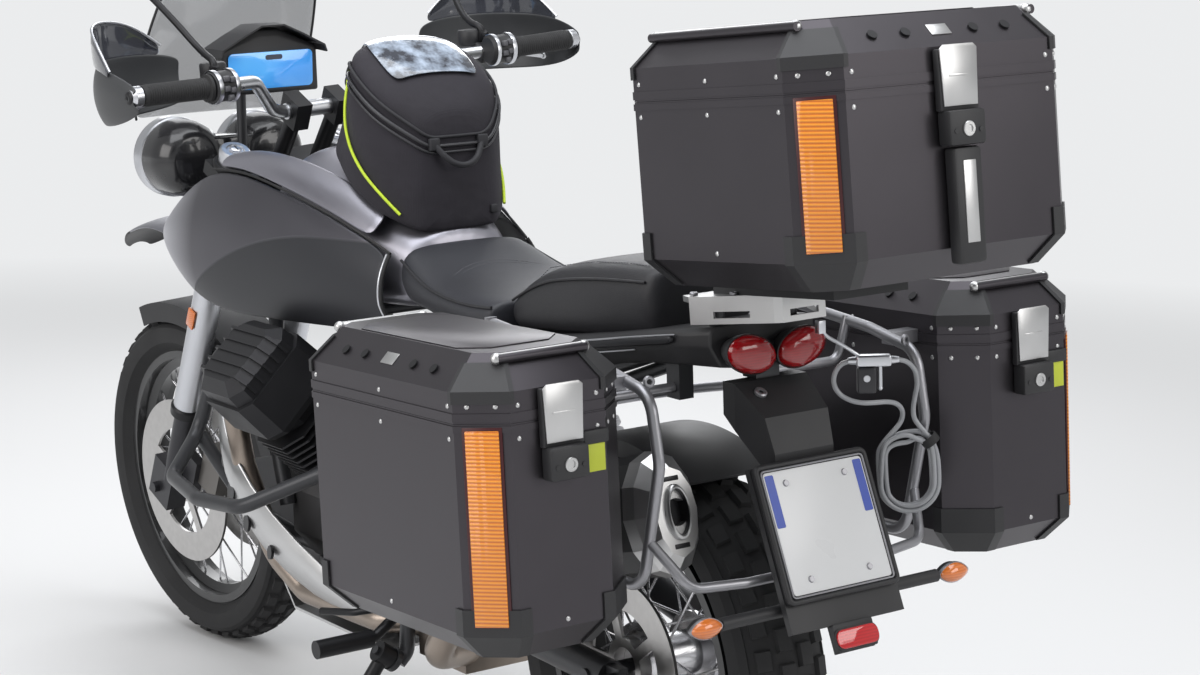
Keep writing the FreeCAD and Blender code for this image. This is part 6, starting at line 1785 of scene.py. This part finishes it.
# Each row: x, half width, height
SCREEN = ((1437, 160, 1040), (1420, 172, 1075), (1380, 172, 1140), (1345, 168, 1200), (1300, 156, 1272),
          (1272, 134, 1325), (1262, 96, 1344))
SCREEN_BOW, SCREEN_WALL = 33, 4
SCREEN_PANE = clear_finish("screen_pane", (0.10, 0.11, 0.13, 1), 0.42)
# Each row: x, half width, height, crown
BEAK = ((1395, 82, 776, 22), (1430, 90, 802, 24), (1500, 98, 822, 22), (1570, 95, 822, 18),
        (1640, 88, 810, 16), (1705, 76, 794, 14), (1760, 58, 778, 12), (1805, 38, 758, 10),
        (1822, 20, 750, 6))
BEAK_WALL, TIP_WALL = 5, 6
BEAK_SILVER = surface("beak_silver", (0.25, 0.25, 0.28), 0.8, 0.38, 0.05, 120, 0.5, 0.01)


def screen_row(x, half, z):
    return [(x + SCREEN_BOW * (1 - t * t), t * half, z) for t in SPREAD]


def beak_row(x, half, z, crown):
    return [(x, t * half, z + crown * (1 - abs(t) ** 1.6) - 14 * max(0.0, abs(t) - 0.8)) for t in SPREAD]


made, rim = bmesh.new(), bmesh.new()
shell(made, [screen_row(*row) for row in SCREEN], SCREEN_WALL, Vector((1, 0, 0)))
for side in (1, -1):
    edge = [(x + 1, side * half, z) for x, half, z in SCREEN]
    pipe(rim, edge + [(SCREEN[-1][0] + SCREEN_BOW, 0, SCREEN[-1][2] + 1)], 2.4, 6)
    screw(rim, rim, (1408, side * 120, 1092), (-1, 0, 0.3), 7, 4)
piece("screen_pane", made, BIKE, "chassis", "screen", 60, finish=SCREEN_PANE, stands_for=("windscreen",),
      smoothing=2)
piece("screen_trim", rim, BIKE, "chassis", "black_plastic", 60)
made, tip = bmesh.new(), bmesh.new()
shell(made, [beak_row(*row) for row in BEAK[:6]], BEAK_WALL, UP)
shell(tip, [beak_row(*row) for row in BEAK[5:]], TIP_WALL, UP)
piece("beak_panel", made, BIKE, "chassis", "tank_silver", 60, finish=BEAK_SILVER, stands_for=("beak",),
      smoothing=2)
piece("beak_tip", tip, BIKE, "chassis", "black_plastic", 60, smoothing=2)
print("screen and beak curved")

# %% [markdown]
# An off-road tyre is a round carcass with rows of rubber blocks.  The carcass is a lathe form a
# little smaller than the tyre, and the blocks bring it out to full size: four rows round the crown,
# every second one shifted by half a pitch.  The rear tyre's tread is wider and coarser.

# %% Tyres
TREAD_DEPTH = 7
CROWN_SHARE, TREAD_SHARE = 0.16, 0.86
BLOCK_ROWS = (-0.76, -0.26, 0.26, 0.76)
BLOCK_WIDTH, BLOCK_HEIGHT, BLOCK_SUNK, BLOCK_TAPER = 0.86 / 2.3, 10, 5.2, 0.86
EDGE_SHARE, MIDDLE_SHARE = 0.62, 0.7
# Each tyre: name, its hub, radius, width, radius of the bead, half width of the rim, body, node and
# the number of blocks in a row
TYRES = (("front_tyre_tread", FRONT_HUB, FRONT_RADIUS, 112, 241, 40, "front_wheel", "front_tyre", 46),
         ("rear_tyre_tread", UPRIGHT, REAR_RADIUS, 150, 216, 53, "rear_wheel", "rear_tyre", 40))


def tread_block(made, place, width, length):
    """A rubber block whose outer face is a little smaller than its foot."""
    sunk = place @ Matrix.Translation((-BLOCK_SUNK, 0, 0))
    form = sunk @ Matrix.Diagonal((BLOCK_HEIGHT, width, length, 1))
    grown = bmesh.ops.create_cube(made, size=1, matrix=form)["verts"]
    outer = [vert for vert in grown if (sunk.inverted() @ vert.co).x > 0]
    centre = sum((vert.co for vert in outer), Vector()) / len(outer)
    for vert in outer:
        vert.co = centre + (vert.co - centre) * BLOCK_TAPER


def tyre(name, hub, radius, width, bead, rim_half, body, node, pitches):
    made = bmesh.new()
    half, rise = width / 2, CROWN_SHARE * width
    tread = TREAD_SHARE * half
    crown = (tread ** 2 + rise ** 2) / (2 * rise)
    belly = bead + 0.6 * (radius - rise - bead)
    seat = rim_half - 6

    def crown_at(y, depth=0.0):
        return radius - crown + math.sqrt((crown - depth) ** 2 - y * y)

    side = [(bead + 3, seat), (bead + 14, seat + 1), (bead + 18, seat + 5), (belly - 14, half - 3),
            (belly, half), (belly + 16, half - 1), (radius - rise - 6, tread + 1)]
    side += [(crown_at(share * tread, TREAD_DEPTH), share * tread) for share in (0.98, 0.8, 0.5, 0.2)]
    outline = side + [(r, -y) for r, y in reversed(side)]
    carcass = bmesh.new()
    chain = [carcass.verts.new((r, y, 0)) for r, y in outline]
    links = [carcass.edges.new(pair) for pair in zip(chain, chain[1:])]
    bmesh.ops.spin(carcass, geom=chain + links, cent=(0, 0, 0), axis=(0, 1, 0), angle=math.tau, steps=96,
                   use_merge=True)
    bmesh.ops.remove_doubles(carcass, verts=carcass.verts, dist=0.01)
    join(made, carcass)
    for row, middle in enumerate(BLOCK_ROWS):
        across = middle * tread
        reach = crown_at(across) - 0.2
        turned_out = Matrix.Rotation(math.atan2(across, crown), 4, "Z")
        share = EDGE_SHARE if abs(middle) > 0.5 else MIDDLE_SHARE
        length = math.tau * radius / pitches * share
        for k in range(pitches):
            angle = math.tau * (k + 0.5 * (row % 2)) / pitches
            place = Matrix.Rotation(angle, 4, "Y") @ Matrix.Translation((reach, across, 0)) @ turned_out
            tread_block(made, place, BLOCK_WIDTH * tread, length)
    piece(name, made, hub, body, "tyre", 32, stands_for=(node,))


for row in TYRES:
    tyre(*row)
print("cut", len(TYRES), "tyres")
